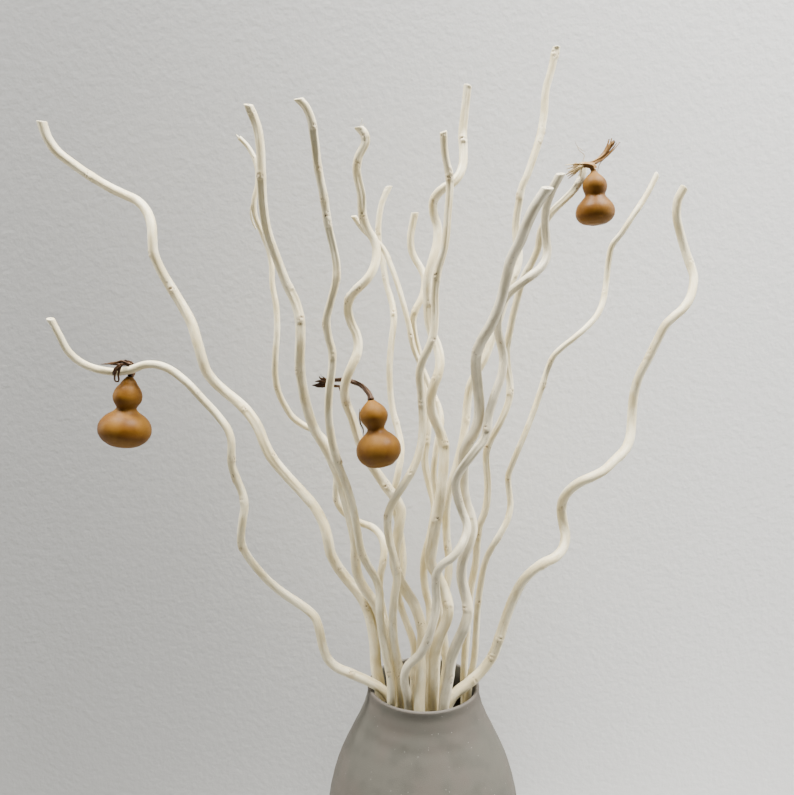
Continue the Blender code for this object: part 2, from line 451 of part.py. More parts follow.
def make_stems():
    """All the stems, settled clear of each other. Gives each stem's centre line by name."""
    routes = [whole_route(stem) for stem in STEMS]
    paths = settle_apart([path for path, _ in routes], [radius for _, radius in routes])
    lines = {}
    for stem, path, (_, radius) in zip(STEMS, paths, routes):
        keep = ring_places(path)
        solid_along(stem.name, path[keep], radius[keep], STEM_SIDES, stem.colour, level_end=True)
        lines[stem.name] = path
    return lines


def make_vase():
    """The vase is one thrown shell: up its outside, over the rim and down its inside."""
    outside = smooth_curve(np.array(VASE_OUTLINE) * CM, 2 * MM)
    outside = outside[np.linspace(0, len(outside) - 1, VASE_RINGS).round().astype(int)]
    inside = []
    for k, (radius, height) in enumerate(outside):
        run, rise = outside[min(k + 1, VASE_RINGS - 1)] - outside[max(k - 1, 0)]
        slope = math.hypot(run, rise)
        inside.append((radius - VASE_WALL * rise / slope, height + VASE_WALL * run / slope))
    inside = [(radius, height) for radius, height in inside if height > VASE_FLOOR + 6 * MM]
    inside[-1] = (outside[-1][0] - VASE_WALL, VASE_HEIGHT)
    inside.insert(0, (inside[0][0] - 9 * MM, VASE_FLOOR))
    profile = [(0.0, 0.0), *outside, *reversed(inside), (0.0, VASE_FLOOR)]
    solid = bmesh.new()
    verts = [solid.verts.new((radius, 0.0, height)) for radius, height in profile]
    edges = [solid.edges.new(pair) for pair in zip(verts, verts[1:])]
    bmesh.ops.spin(solid, geom=verts + edges, cent=(0, 0, 0), axis=(0, 0, 1), angle=math.tau,
                   steps=VASE_SIDES, use_merge=True)
    bmesh.ops.remove_doubles(solid, verts=solid.verts[:], dist=0.01 * MM)
    bmesh.ops.recalc_face_normals(solid, faces=solid.faces[:])
    finished_object("vase", solid, STONEWARE, roughness=0.85)


def make_gourd(gourd, lines):
    """One gourd and its dried stalk, grown as one, hooked over its stem.

    The stalk's route is counted from the hook: the point on the stem's centre line that it hangs on.
    """
    stem_line = lines[gourd.stem]
    sight = seen_at(gourd.hook[0] * CM, gourd.hook[1] * CM, 0.0) - EYE
    sight = sight / np.linalg.norm(sight)
    from_eye = stem_line - EYE
    beside = np.linalg.norm(from_eye - np.outer(from_eye @ sight, sight), axis=1)
    hook = stem_line[beside.argmin()]
    stalk = smooth_curve(hook + np.array(gourd.stalk) * MM, GOURD_STALK_STEP)
    heights, widths = np.array(gourd.outline).T
    outline = smooth_curve(np.column_stack((1 - heights, widths)), GOURD_OUTLINE_STEP)
    down = np.array((*gourd.tilt, -1.0))
    body = stalk[-1] + np.outer(outline[:, 0], down / np.linalg.norm(down)) * gourd.length * MM
    body_radius = outline[:, 1] * gourd.width * MM / 2
    share = distance_along(stalk) / distance_along(stalk)[-1]
    stalk_radius = np.interp(share, (0, 0.75, 1), (GOURD_TENDRIL / 2, GOURD_STALK / 2, body_radius[0]))
    path = np.vstack((stalk[:-1], body))
    radius = np.concatenate((stalk_radius[:-1], body_radius))
    solid_along(gourd.name, path, radius, GOURD_SIDES, GOURD_SKIN)


STEM_LINES = make_stems()
for each_gourd in GOURDS:
    make_gourd(each_gourd, STEM_LINES)
make_vase()
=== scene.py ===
import math

import bpy
import numpy as np
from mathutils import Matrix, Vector


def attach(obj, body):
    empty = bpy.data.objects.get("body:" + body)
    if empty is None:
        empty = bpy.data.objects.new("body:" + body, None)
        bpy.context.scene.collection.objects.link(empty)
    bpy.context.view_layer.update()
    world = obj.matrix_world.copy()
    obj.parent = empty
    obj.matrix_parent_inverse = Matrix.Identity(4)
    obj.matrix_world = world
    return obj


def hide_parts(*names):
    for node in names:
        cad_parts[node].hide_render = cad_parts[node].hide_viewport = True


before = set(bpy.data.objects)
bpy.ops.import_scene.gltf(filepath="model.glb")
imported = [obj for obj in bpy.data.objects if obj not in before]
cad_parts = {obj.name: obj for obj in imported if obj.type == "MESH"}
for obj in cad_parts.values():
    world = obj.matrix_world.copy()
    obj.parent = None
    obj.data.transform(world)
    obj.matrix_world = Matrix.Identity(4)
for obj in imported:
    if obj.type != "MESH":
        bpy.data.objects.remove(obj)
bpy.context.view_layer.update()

# ---------------------------------------------------------------------------------------------
# Willow stems, 17 of them. Each is one peeled and bleached branch of curly willow: ivory wood with a
# satin skin, shallow grooves between its growth joints with painted shade in them, bud scars at the
# joints and sawn or torn ends.
# They stand loose in the vase: nothing holds them but its mouth and its floor.
CM = 0.01
MM = 0.001
MOUTH = 0.260                     # height of the vase's mouth, just under its rim
EYE = np.array((-0.026, -0.736, MOUTH + 0.406))          # where the camera stands
FRONT = np.array((0.0, -1.0, 0.0))
STEM_SIDES = 36
JOINT_SPACING = 6.5               # cm between the growth joints that are added lower down a stem


def ring_walk(node):
    """Middle and radius of each ring of a solid, from its tip down to its foot."""
    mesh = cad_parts[node].data
    number = {}
    corner = [number.setdefault(tuple(round(c * 1e6) for c in v.co), len(number)) for v in mesh.vertices]
    places = np.array(list(number)) * 1e-6
    beside = [set() for _ in number]
    for face in mesh.polygons:
        ids = [corner[i] for i in face.vertices]
        for a, b in zip(ids, ids[1:] + ids[:1]):
            beside[a].add(b)
            beside[b].add(a)
    ring = set(np.flatnonzero(places[:, 2] < places[:, 2].min() + 0.05 * MM).tolist())
    seen = set()
    middles = []
    radii = []
    while ring:
        seen |= ring
        around = places[sorted(ring)]
        middles.append(around.mean(axis=0))
        radii.append(np.linalg.norm(around - middles[-1], axis=1).mean())
        ring = set().union(*(beside[i] for i in ring)) - seen
    return np.array(middles[::-1]), np.array(radii[::-1])


def curve_at(marks, points, where):
    """The smooth curve through points that lie at the distances marks, read at the distances where."""
    gaps = np.diff(marks)
    chords = np.diff(points, axis=0) / gaps[:, None]
    slopes = np.vstack((chords[:1], chords))
    slopes[1:-1] = chords[1:] * gaps[:-1, None] + chords[:-1] * gaps[1:, None]
    slopes[1:-1] /= (gaps[1:] + gaps[:-1])[:, None]
    k = np.clip(np.searchsorted(marks, where, side="right") - 1, 0, len(gaps) - 1)
    h = gaps[k][:, None]
    t = (where - marks[k])[:, None] / h
    return ((2 * t ** 3 - 3 * t ** 2 + 1) * points[k] + (t ** 3 - 2 * t ** 2 + t) * h * slopes[k]
            + (3 * t ** 2 - 2 * t ** 3) * points[k + 1] + (t ** 3 - t ** 2) * h * slopes[k + 1])


def along_of(points):
    """Distance from the first point to each of the points."""
    return np.concatenate(([0.0], np.cumsum(np.linalg.norm(np.diff(points, axis=0), axis=1))))


def frames_of(points):
    """For each point of a line: its heading, and the directions to its front and to its right."""
    heading = np.gradient(points, axis=0)
    heading /= np.linalg.norm(heading, axis=1)[:, None]
    front = FRONT - heading * (heading @ FRONT)[:, None]
    front /= np.linalg.norm(front, axis=1)[:, None]
    right = np.cross(front, heading)
    return heading, front, right


def away(angle, side):
    """Turn between an angle and a side given in degrees, the short way round."""
    return (angle - math.radians(side) + math.pi) % math.tau - math.pi


def finish_mesh(name, verts, faces, material, masks=None):
    """A smooth-shaded mesh object with its material and its named masks."""
    mesh = bpy.data.meshes.new(name)
    mesh.from_pydata(np.asarray(verts).tolist(), [], faces)
    mesh.polygons.foreach_set("use_smooth", [True] * len(mesh.polygons))
    for label, values in (masks or {}).items():
        values = np.asarray(values, dtype=np.float32)
        kind = "FLOAT_VECTOR" if values.ndim == 2 else "FLOAT"
        layer = mesh.attributes.new(label, kind, "POINT")
        layer.data.foreach_set("vector" if values.ndim == 2 else "value", values.ravel())
    mesh.materials.append(material)
    made = bpy.data.objects.new(name, mesh)
    bpy.context.collection.objects.link(made)
    return made


def tube_faces(rings, sides, first=0):
    """Quads between rings of points, closed round but open at both ends."""
    faces = []
    for k in range(rings - 1):
        for j in range(sides):
            a = first + k * sides + j
            b = first + k * sides + (j + 1) % sides
            faces.append((a, b, b + sides, a + sides))
    return faces


def rod_faces(rings, sides, first=0):
    """The faces of a tube that is closed at both ends, all turned outwards."""
    last = first + (rings - 1) * sides
    faces = tube_faces(rings, sides, first)
    faces.append(tuple(range(first, first + sides)))
    faces.append(tuple(reversed(range(last, last + sides))))
    return [face[::-1] for face in faces]


def add(tree, kind, links=(), **settings):
    """One shader node with its settings and its inputs, each given as a value or as another's output."""
    node = tree.nodes.new(kind)
    for key, value in settings.items():
        setattr(node, key, value)
    for key, value in dict(links).items():
        if isinstance(value, bpy.types.NodeSocket):
            tree.links.new(value, node.inputs[key])
        else:
            node.inputs[key].default_value = value
    return node


def mix(tree, share, a, b):
    """The output of a colour mix of a and b."""
    node = add(tree, "ShaderNodeMix", data_type="RGBA")
    for socket, value in ((node.inputs[0], share), (node.inputs[6], a), (node.inputs[7], b)):
        if isinstance(value, bpy.types.NodeSocket):
            tree.links.new(value, socket)
        else:
            socket.default_value = value
    return node.outputs[2]


def sums(tree, operation, a, b):
    """The output of a plain calculation with two values."""
    return add(tree, "ShaderNodeMath", {0: a, 1: b}, operation=operation).outputs[0]


def spread(tree, value, low, high, to_low=0.0, to_high=1.0):
    """A value eased from low..high to to_low..to_high, and held inside it."""
    links = {"Value": value, "From Min": low, "From Max": high, "To Min": to_low, "To Max": to_high}
    return add(tree, "ShaderNodeMapRange", links, interpolation_type="SMOOTHSTEP").outputs[0]


def noise(tree, vector, scale, detail=3.0, roughness=0.5):
    """The value output of a noise over a vector."""
    links = {"Vector": vector, "Scale": scale, "Detail": detail, "Roughness": roughness}
    return add(tree, "ShaderNodeTexNoise", links).outputs["Fac"]


def stretched(tree, vector, scale):
    """A vector with each of its directions scaled."""
    return add(tree, "ShaderNodeMapping", {"Vector": vector, "Scale": scale}).outputs[0]


def new_group(name, inputs, outputs):
    """An empty node group, the sockets that its inputs give, and the sockets that its outputs take."""
    tree = bpy.data.node_groups.new(name, "ShaderNodeTree")
    for label, kind, value in inputs:
        socket = tree.interface.new_socket(name=label, in_out="INPUT", socket_type=kind)
        socket.default_value = value
    for label, kind in outputs:
        tree.interface.new_socket(name=label, in_out="OUTPUT", socket_type=kind)
    return tree, tree.nodes.new("NodeGroupInput").outputs, tree.nodes.new("NodeGroupOutput").inputs


COLOUR = "NodeSocketColor"
VALUE = "NodeSocketFloat"

wood, given, out = new_group("peeled_wood", [
    ("Cream", COLOUR, (0.70, 0.605, 0.365, 1)), ("Pale", COLOUR, (0.82, 0.745, 0.525, 1)),
    ("Groove", COLOUR, (0.42, 0.355, 0.205, 1)), ("Tan", COLOUR, (0.42, 0.28, 0.13, 1)),
    ("Scar", COLOUR, (0.09, 0.055, 0.03, 1)),
    ("Dirt", VALUE, 0.5)], [("Color", COLOUR), ("Roughness", VALUE), ("Height", VALUE)])
grain = add(wood, "ShaderNodeAttribute", attribute_name="grain").outputs["Vector"]
groove = add(wood, "ShaderNodeAttribute", attribute_name="groove").outputs["Fac"]
scar = add(wood, "ShaderNodeAttribute", attribute_name="scar").outputs["Fac"]
joint = add(wood, "ShaderNodeAttribute", attribute_name="joint").outputs["Fac"]
fibres = noise(wood, stretched(wood, grain, (9.0, 9.0, 0.45)), 1.0, 4.0, 0.6)
clouds = noise(wood, stretched(wood, grain, (1.4, 1.4, 0.5)), 1.0, 3.0, 0.55)
smudges = noise(wood, stretched(wood, grain, (2.6, 2.6, 0.8)), 1.0, 5.0, 0.65)
colour = mix(wood, spread(wood, clouds, 0.40, 0.62), given["Cream"], given["Pale"])
colour = mix(wood, spread(wood, fibres, 0.45, 0.75, 0.0, 0.22), colour, given["Groove"])
# painted shade: the groove mask darkens the wood in its furrows, more in some patches than in others
groove_shade = sums(wood, "MULTIPLY", groove, spread(wood, smudges, 0.36, 0.58, 0.45, 1.0))
colour = mix(wood, sums(wood, "MULTIPLY", groove_shade, 0.42), colour, given["Groove"])
smudge = sums(wood, "MULTIPLY", spread(wood, smudges, 0.56, 0.70), given["Dirt"])
colour = mix(wood, sums(wood, "MULTIPLY", smudge, 0.55), colour, given["Groove"])
rough_bark = sums(wood, "MULTIPLY", joint, spread(wood, smudges, 0.40, 0.60, 0.1, 1.0))
colour = mix(wood, sums(wood, "MULTIPLY", rough_bark, 0.45), colour, given["Tan"])
specks = add(wood, "ShaderNodeTexVoronoi", {"Vector": stretched(wood, grain, (9.0, 9.0, 5.0)), "Scale": 1.0,
                                            "Randomness": 1.0}, feature="F1")
dots = spread(wood, specks.outputs["Distance"], 0.12, 0.26, 1.0, 0.0)
crowded = sums(wood, "ADD", spread(wood, smudges, 0.52, 0.66), sums(wood, "MULTIPLY", joint, 0.9))
lot = add(wood, "ShaderNodeSeparateColor", {0: specks.outputs["Color"]}).outputs[0]
crowded = spread(wood, sums(wood, "SUBTRACT", crowded, lot), 0.05, 0.30)
dots = sums(wood, "MULTIPLY", dots, crowded)
colour = mix(wood, sums(wood, "MULTIPLY", dots, 0.62), colour, given["Scar"])
tatters = noise(wood, stretched(wood, grain, (14.0, 14.0, 8.0)), 1.0, 4.0, 0.7)
tatters = sums(wood, "MULTIPLY", sums(wood, "SUBTRACT", tatters, 0.5), 2.0)
ragged = spread(wood, sums(wood, "ADD", scar, tatters), 0.34, 0.80)
colour = mix(wood, sums(wood, "MULTIPLY", ragged, 0.88), colour, given["Scar"])
wood.links.new(colour, out["Color"])
wood.links.new(spread(wood, sums(wood, "ADD", fibres, groove), 0.3, 1.4, 0.40, 0.62), out["Roughness"])
dents = sums(wood, "SUBTRACT", sums(wood, "MULTIPLY", fibres, 0.5), sums(wood, "MULTIPLY", dots, 0.6))
wood.links.new(sums(wood, "SUBTRACT", dents, sums(wood, "MULTIPLY", ragged, 0.8)), out["Height"])


def skin_material(name, look, shine, strength, depth, **values):
    """A material with the colour, roughness and bumps of a node group; shine is its specular level."""
    made = bpy.data.materials.new(name)
    made.use_nodes = True
    tree = made.node_tree
    skin = tree.nodes["Principled BSDF"]
    group = add(tree, "ShaderNodeGroup", node_tree=look)
    for label, value in values.items():
        group.inputs[label].default_value = value
    tree.links.new(group.outputs["Color"], skin.inputs["Base Color"])
    tree.links.new(group.outputs["Roughness"], skin.inputs["Roughness"])
    bump = add(tree, "ShaderNodeBump", {"Height": group.outputs["Height"], "Strength": strength,
                                        "Distance": depth})
    tree.links.new(bump.outputs[0], skin.inputs["Normal"])
    skin.inputs["Specular IOR Level"].default_value = shine
    return made


def wood_material(name, dirt, shine=0.42, **colours):
    """Peeled wood: dirt is how much its smudges show, and a wood that shines has a faint sheen as well."""
    made = skin_material(name, wood, shine, 0.35, 0.6 * MM, Dirt=dirt, **colours)
    dull = 0.2
    sheen = 0.06 if shine > dull else 0.0
    made.node_tree.nodes["Principled BSDF"].inputs["Sheen Weight"].default_value = sheen
    return made


ivory = wood_material("peeled_willow", 0.5)
greyed = wood_material("greyed_willow", 0.9, Cream=(0.60, 0.535, 0.375, 1), Pale=(0.72, 0.655, 0.49, 1),
                       Groove=(0.35, 0.31, 0.20, 1))
stem_lines = {}


def stations(length, joints, below_mouth):
    """Places along a stem to put a ring at: close together at its tip and joints, wide inside the vase."""
    places = [0.0, 0.25 * MM, 0.6 * MM]
    while places[-1] < length:
        here = places[-1]
        step = 2.4 * MM
        if here > below_mouth:
            step = 9 * MM
        elif here < 9 * MM or min(abs(here - joint[0] * CM) for joint in joints) < 5 * MM:
            step = 0.75 * MM
        places.append(here + step)
    places[-1] = length
    if places[-1] - places[-2] < 0.5 * MM:
        del places[-2]
    return np.array(places)


def make_stem(name, seed, joints, grooves, slant=(0.3, 0), material=ivory):
    """One branch on the line of its solid, with more joints and grooves below the last joint given.

    joints   (cm from the tip, side in degrees: 0 front, 90 right, strength) of the growth joints
    grooves  (from cm, to cm, side, depth in mm): shallow furrows, sharp where they begin
    slant    slope of the sawn tip, and the side that it falls to
    """
    middles, radii = ring_walk(name)
    marks = along_of(middles)
    rng = np.random.default_rng(seed)
    below_mouth = marks[-1] - MOUTH - 1 * CM
    joints = list(joints)
    grooves = list(grooves)
    reach, side = joints[-1][:2]
    while reach * CM < below_mouth:
        reach += JOINT_SPACING * rng.uniform(0.7, 1.3)
        side += 144 + rng.uniform(-25, 25)
        joints.append((reach, side % 360, rng.uniform(0.5, 1.1)))
        grooves.append((reach + 0.15, reach + rng.uniform(2.5, 6.0), side % 360 + rng.uniform(-40, 40),
                        rng.uniform(0.3, 0.8)))
    where = stations(marks[-1], joints, below_mouth)
    line = curve_at(marks, middles, where)
    size = curve_at(marks, radii[:, None], where)[:, 0]
    heading, front, right = frames_of(line)
    angle = np.arange(STEM_SIDES) * math.tau / STEM_SIDES
    s = where[:, None]
    a = angle[None, :]
    phase = rng.uniform(0, math.tau, 4)
    out_by = 0.030 * np.cos(2 * (a - phase[0] - 9 * s)) + 0.016 * np.cos(3 * (a - phase[1] + 14 * s))
    out_by = out_by + 0.014 * np.sin(s / 0.021 + phase[2]) + 0.010 * np.sin(s / 0.0082 + phase[3])
    shape = size[:, None] * (1 + out_by)
    # furrow is the groove mask: the wood material paints shade into the furrows where it is high
    furrow = np.zeros_like(shape)
    for start, end, side, depth in grooves:
        start, end = start * CM, end * CM
        eased = np.clip((s - start) / (1.5 * MM), 0, 1)
        eased = eased * np.clip((end - s) / (0.6 * (end - start)), 0, 1) ** 0.7
        turn = away(a + 2.4 * (s - start), side) * (1 + 0.5 * (1 - eased))
        chord = (size[:, None] - depth * MM * eased) / np.maximum(np.cos(np.clip(turn, -1.2, 1.2)), 0.3)
        under = np.clip((shape - chord) / (0.25 * MM), 0, 1) * (np.abs(turn) < 1.2)
        furrow = np.maximum(furrow, under * np.clip(eased * depth / 0.6, 0, 1))
        shape = np.where(np.abs(turn) < 1.2, np.minimum(shape, chord), shape)
        shape = shape - 0.22 * depth * MM * eased * np.exp(-(turn / 0.22) ** 2)
    scar = np.zeros_like(shape)
    near = np.zeros_like(shape)
    for place, side, strength in joints:
        off = s - place * CM
        turn = away(a, side)
        collar = np.exp(-(off / (4.5 * MM)) ** 2)
        cushion = np.exp(-((off - 1.0 * MM) / (2.6 * MM)) ** 2 - (turn / 0.62) ** 2)
        brow = np.exp(-((off + 2.4 * MM) / (1.1 * MM)) ** 2 - (turn / 0.55) ** 2)
        pit = np.exp(-((off + 0.7 * MM) / (1.0 * MM)) ** 2 - (turn / 0.27) ** 2)
        shape = shape + strength * (0.22 * collar + 0.60 * cushion + 0.30 * brow - 0.65 * pit) * MM
        scar = np.maximum(scar, min(1.0, 0.8 * strength) * pit)
        near = np.maximum(near, min(1.0, strength) * np.exp(-(off / (3.6 * MM)) ** 2 - (turn / 1.1) ** 2))
        for _ in range(int(7 * strength)):
            pock = np.exp(-((off - rng.normal(0, 3.4) * MM) / (rng.uniform(0.5, 1.3) * MM)) ** 2
                          - ((turn - rng.normal(0, 0.7)) / 0.17) ** 2)
            shape = shape - 0.30 * MM * pock
            scar = np.maximum(scar, rng.uniform(0.5, 1.0) * pock)
    slope, falls = slant
    tilt = slope * size[:, None] * np.cos(away(a, -falls)) * np.clip(1 - s / (3.2 * size[0]), 0, 1)
    outward = front[:, None, :] * np.cos(a)[..., None] + right[:, None, :] * np.sin(a)[..., None]
    shape[0] *= 0.90
    shape[1] *= 0.965
    verts = line[:, None, :] + outward * shape[..., None] + heading[:, None, :] * tilt[..., None]
    grain = np.stack((np.cos(a) * size[:, None], np.sin(a) * size[:, None], s + 0 * a), axis=-1) / CM
    grain = grain + rng.uniform(0, 50, 3)
    # three more rings on the sawn face: a dark pith in the middle and plain wood round it, which the
    # groove mask darkens a little towards the middle
    rows = [verts[0] * keep + (line[0] + heading[0] * depth) * (1 - keep)
            for keep, depth in ((0.12, 0.15 * MM), (0.40, 0.05 * MM), (0.78, 0.0))]
    level = np.zeros((1, STEM_SIDES))
    verts = np.concatenate([np.array(rows), verts])
    scar = np.concatenate([np.array([0.85, 0.12, 0.0])[:, None] + level, scar])
    furrow = np.concatenate([np.array([0.3, 0.2, 0.1])[:, None] + level, furrow])
    near = np.concatenate([np.zeros((3, STEM_SIDES)), near])
    grain = np.concatenate([np.repeat(grain[:1], 3, axis=0), grain])
    masks = {"grain": grain.reshape(-1, 3), "groove": furrow.ravel(), "scar": scar.ravel(),
             "joint": near.ravel()}
    faces = rod_faces(len(verts), STEM_SIDES)
    stem = finish_mesh(name + "_wood", verts.reshape(-1, 3), faces, material, masks)
    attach(stem, "root")
    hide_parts(name)
    stem_lines[name] = line


make_stem("stem_far_left", 1,
          [(2.6, 250, 0.6), (6.7, -20, 1.1), (18.1, -75, 0.9), (21.8, 5, 1.2), (35.6, 10, 0.8),
           (41.0, 80, 0.5), (46.5, -60, 0.6), (54.0, 8, 0.6), (58.9, 13, 1.0)],
          [(7.1, 16.5, -45, 0.8), (22.1, 27.0, -35, 1.0), (35.9, 46, 15, 0.7), (54.2, 58.5, 60, 0.5)],
          slant=(0.35, 270))
make_stem("stem_left_gourd", 2,
          [(9.5, 180, 0.6), (16.2, 30, 0.5), (23.3, 60, 1.0), (25.3, -60, 1.1), (27.4, -40, 0.8),
           (32.2, -34, 1.1), (40.5, 100, 0.5), (49.8, 45, 0.9)],
          [(0.3, 4.5, -60, 0.7), (23.5, 25.2, 80, 0.7), (32.5, 38.5, -60, 0.8), (42.0, 49.5, -40, 0.6),
           (50.0, 54.0, 70, 0.6)],
          slant=(0.4, 290))
make_stem("stem_left_tall", 3,
          [(0.7, -37, 0.7), (5.8, -29, 1.1), (15.7, 60, 0.6), (18.6, 31, 1.2), (23.2, -49, 0.9),
           (25.9, -40, 0.6), (34.6, 100, 0.8), (42.0, 20, 0.6), (49.7, -41, 0.9)],
          [(0.1, 3.4, -25, 0.8), (6.0, 15.0, -10, 0.9), (15.9, 18.4, 35, 0.8), (18.9, 28.0, 0, 0.9),
           (35.0, 41.0, -30, 0.6)],
          slant=(0.5, 300))
make_stem("stem_left_front", 4,
          [(2.3, 45, 0.7), (5.4, 12, 0.8), (7.8, -34, 1.2), (9.1, -5, 1.1), (9.6, 30, 0.8),
           (14.0, 76, 0.8), (18.2, -63, 0.9), (20.9, 20, 0.6), (30.9, 60, 1.3), (40.0, -20, 0.5),
           (52.1, -14, 0.9)],
          [(0.2, 2.2, -60, 0.7), (2.4, 5.2, -5, 1.1), (9.9, 17.5, 10, 1.0), (21.2, 28, 5, 0.7),
           (31.1, 35.0, 60, 1.1), (40.3, 47, 20, 0.6)],
          slant=(0.6, 290))
make_stem("stem_left_forked", 5,
          [(2.2, 60, 0.5), (9.5, 40, 0.5), (16.0, 200, 0.5), (23.9, -12, 0.8), (31.0, 90, 0.4),
           (37.6, -16, 0.8), (46.5, 25, 0.6)],
          [(10.0, 15.0, -30, 0.5), (24.1, 29.5, -50, 0.6), (37.8, 42.0, -70, 0.5)])
make_stem("stem_middle_gourd", 6,
          [(0.9, -20, 0.9), (3.2, 0, 1.1), (7.8, 10, 1.0), (14.9, 20, 1.0), (16.3, -80, 1.0),
           (22.0, 70, 0.5), (26.3, 0, 0.8), (35.3, 2, 1.5), (43.0, 60, 0.6), (50.0, -20, 0.8)],
          [(1.0, 3.0, 40, 0.7), (4.0, 7.5, 25, 1.1), (8.0, 13.0, -60, 0.6), (15.2, 21.0, 20, 0.8),
           (26.6, 33.0, 60, 0.8), (43.3, 49.5, 50, 0.7)],
          slant=(0.5, 280))
make_stem("stem_middle_front", 7,
          [(0.25, 20, 0.8), (3.1, 30, 0.9), (3.6, -27, 1.1), (11.5, -31, 1.1), (16.9, 27, 0.9),
           (22.9, -4, 0.7), (29.2, -9, 0.7), (33.9, -50, 1.0), (39.4, 55, 1.1), (50.4, -9, 0.9)],
          [(3.8, 11.0, 50, 0.7), (11.8, 16.6, 30, 0.7), (23.1, 28.0, -40, 0.5), (34.2, 39.0, 50, 0.6),
           (39.7, 46.0, 30, 0.6)],
          slant=(0.25, 60))
make_stem("stem_middle_tall", 8,
          [(4.9, -10, 1.2), (11.8, -5, 0.9), (11.2, 80, 0.6), (21.0, 50, 0.7), (28.0, -50, 0.6),
           (34.6, 49, 1.4), (41.4, 0, 1.1), (47.5, 80, 0.6), (50.5, -23, 0.8)],
          [(0.1, 4.7, 30, 1.0), (5.1, 10.5, 10, 0.8), (21.2, 27.0, 20, 0.8), (34.8, 41.2, 20, 1.2),
           (41.7, 47.0, -40, 0.8), (50.8, 56.0, 30, 0.9)],
          slant=(0.15, 240))
make_stem("stem_middle_slanting", 9,
          [(0.8, 30, 0.5), (5.0, 90, 0.5), (12.8, 9, 0.8), (19.5, 32, 0.6), (29.0, -30, 0.7)],
          [(5.2, 11.0, 40, 0.5), (13.0, 18.0, 60, 0.5), (29.2, 34.5, 10, 0.5)],
          slant=(0.5, 290))
make_stem("stem_middle_thin", 10,
          [(0.5, -60, 0.6), (4.5, -50, 0.7), (9.0, -39, 0.8), (12.8, 6, 1.0), (23.2, 60, 0.6),
           (33.0, -30, 0.7)],
          [(4.7, 8.7, 30, 0.6), (13.0, 21.0, -20, 0.6), (23.4, 30.0, 20, 0.5)],
          slant=(0.5, 80))
make_stem("stem_middle_short", 11,
          [(0.4, 120, 0.4), (10.0, -60, 0.6), (22.7, 0, 0.8), (33.0, 45, 0.7)],
          [(0.3, 4.0, 50, 0.6), (10.2, 16.0, 0, 0.6), (22.9, 30.0, 40, 0.6)],
          slant=(0.2, 90))
make_stem("stem_tallest", 12,
          [(0.65, -50, 0.9), (0.8, 60, 0.9), (8.0, 80, 1.0), (9.1, 9, 0.5), (14.5, -65, 1.3),
           (22.0, 30, 0.5), (36.5, 40, 0.7)],
          [(0.05, 1.1, 5, 1.2), (9.2, 13.8, 40, 0.7), (14.7, 21.0, 10, 0.6), (22.3, 30.0, 30, 0.5)],
          slant=(0.2, 90))
make_stem("stem_right_gourd", 13,
          [(1.8, -60, 0.8), (10.0, 40, 0.6), (21.4, 34, 1.3), (26.9, -22, 1.2), (36.1, 3, 1.0),
           (43.8, 60, 0.9)],
          [(2.0, 6.0, -20, 0.6), (16.5, 21.2, 40, 0.8), (21.6, 26.0, -30, 0.6), (27.1, 33.0, 30, 0.6),
           (36.3, 42.0, -20, 0.7)])
make_stem("stem_right_thin", 14,
          [(3.5, 40, 0.5), (12.0, -40, 0.5), (20.6, -30, 0.6), (22.8, 50, 1.2), (32.2, -2, 1.0),
           (38.0, 50, 0.7), (45.0, 10, 1.0)],
          [(4.0, 11.0, 50, 0.5), (20.8, 22.5, 20, 0.7), (23.0, 31.0, 40, 0.6), (45.2, 50.0, -20, 0.6)],
          slant=(0.6, 260))
make_stem("stem_far_right", 15,
          [(7.3, 11, 0.5), (18.0, -60, 0.5), (28.5, 60, 0.5), (36.5, -20, 0.6), (43.7, 54, 1.0),
           (52.3, 2, 1.3), (54.3, -24, 0.9), (57.1, 10, 0.9)],
          [(8.0, 14.5, 60, 0.5), (28.7, 35.0, 70, 0.5), (43.9, 50.0, 60, 0.6), (52.6, 56.5, 10, 0.6)],
          slant=(0.25, 250))
make_stem("stem_right_front", 16,
          [(6.3, 2, 0.5), (14.5, -60, 0.6), (23.0, 40, 0.6), (31.0, -70, 0.7), (40.1, -42, 1.1),
           (47.0, 30, 0.8)],
          [(0.3, 6.0, 60, 0.7), (14.8, 22.0, 30, 0.6), (31.3, 38.5, 0, 0.7), (40.4, 46.0, 20, 0.6)],
          slant=(0.45, 60), material=greyed)
make_stem("stem_right_twisting", 17,
          [(0.6, 180, 0.4), (9.0, 60, 0.7), (16.5, -20, 0.5), (24.1, -38, 1.5), (32.0, 50, 0.7),
           (40.5, -10, 0.6), (47.1, 8, 1.1)],
          [(4.0, 8.8, -30, 0.7), (9.3, 15.5, 30, 0.7), (24.4, 31.0, -10, 0.8), (40.7, 46.5, 30, 0.6)],
          slant=(0.5, 70), material=greyed)


def make_strands(name, start, lines, material, seed, flat=1.0):
    """Thin dry fibres in one piece, each on a line of places in mm from the start with thicknesses in mm.

    flat is their thickness to the front as a share of their width.
    """
    rng = np.random.default_rng(seed)
    sides = 12
    rings = 30
    turn = np.arange(sides) * math.tau / sides
    share = np.linspace(0, 1, rings)[:, None]
    verts, faces, grain = [], [], []
    for places, thick in lines:
        route = start + np.array(places, dtype=float) * MM
        marks = along_of(route)
        route = curve_at(marks, route, share[:, 0] * marks[-1])
        radius = np.interp(share, np.linspace(0, 1, len(thick)), thick) * MM / 2
        twist = turn[None, :] + share * 3.0 + rng.uniform(0, 6)
        radius = radius * (1 + 0.2 * np.cos(3 * twist) + 0.06 * rng.standard_normal((rings, 1)))
        _, front, right = frames_of(route)
        outward = flat * front[:, None] * np.cos(turn)[:, None] + right[:, None] * np.sin(turn)[:, None]
        faces += rod_faces(rings, sides, len(verts) * rings * sides)
        verts.append((route[:, None] + outward * radius[..., None]).reshape(-1, 3))
        weave = np.stack((np.cos(twist) * 0.2, np.sin(twist) * 0.2, share * 3 + seed + 0 * twist), axis=-1)
        grain.append(weave.reshape(-1, 3))
    piece = finish_mesh(name, np.concatenate(verts), faces, material, {"grain": np.concatenate(grain)})
    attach(piece, "root")


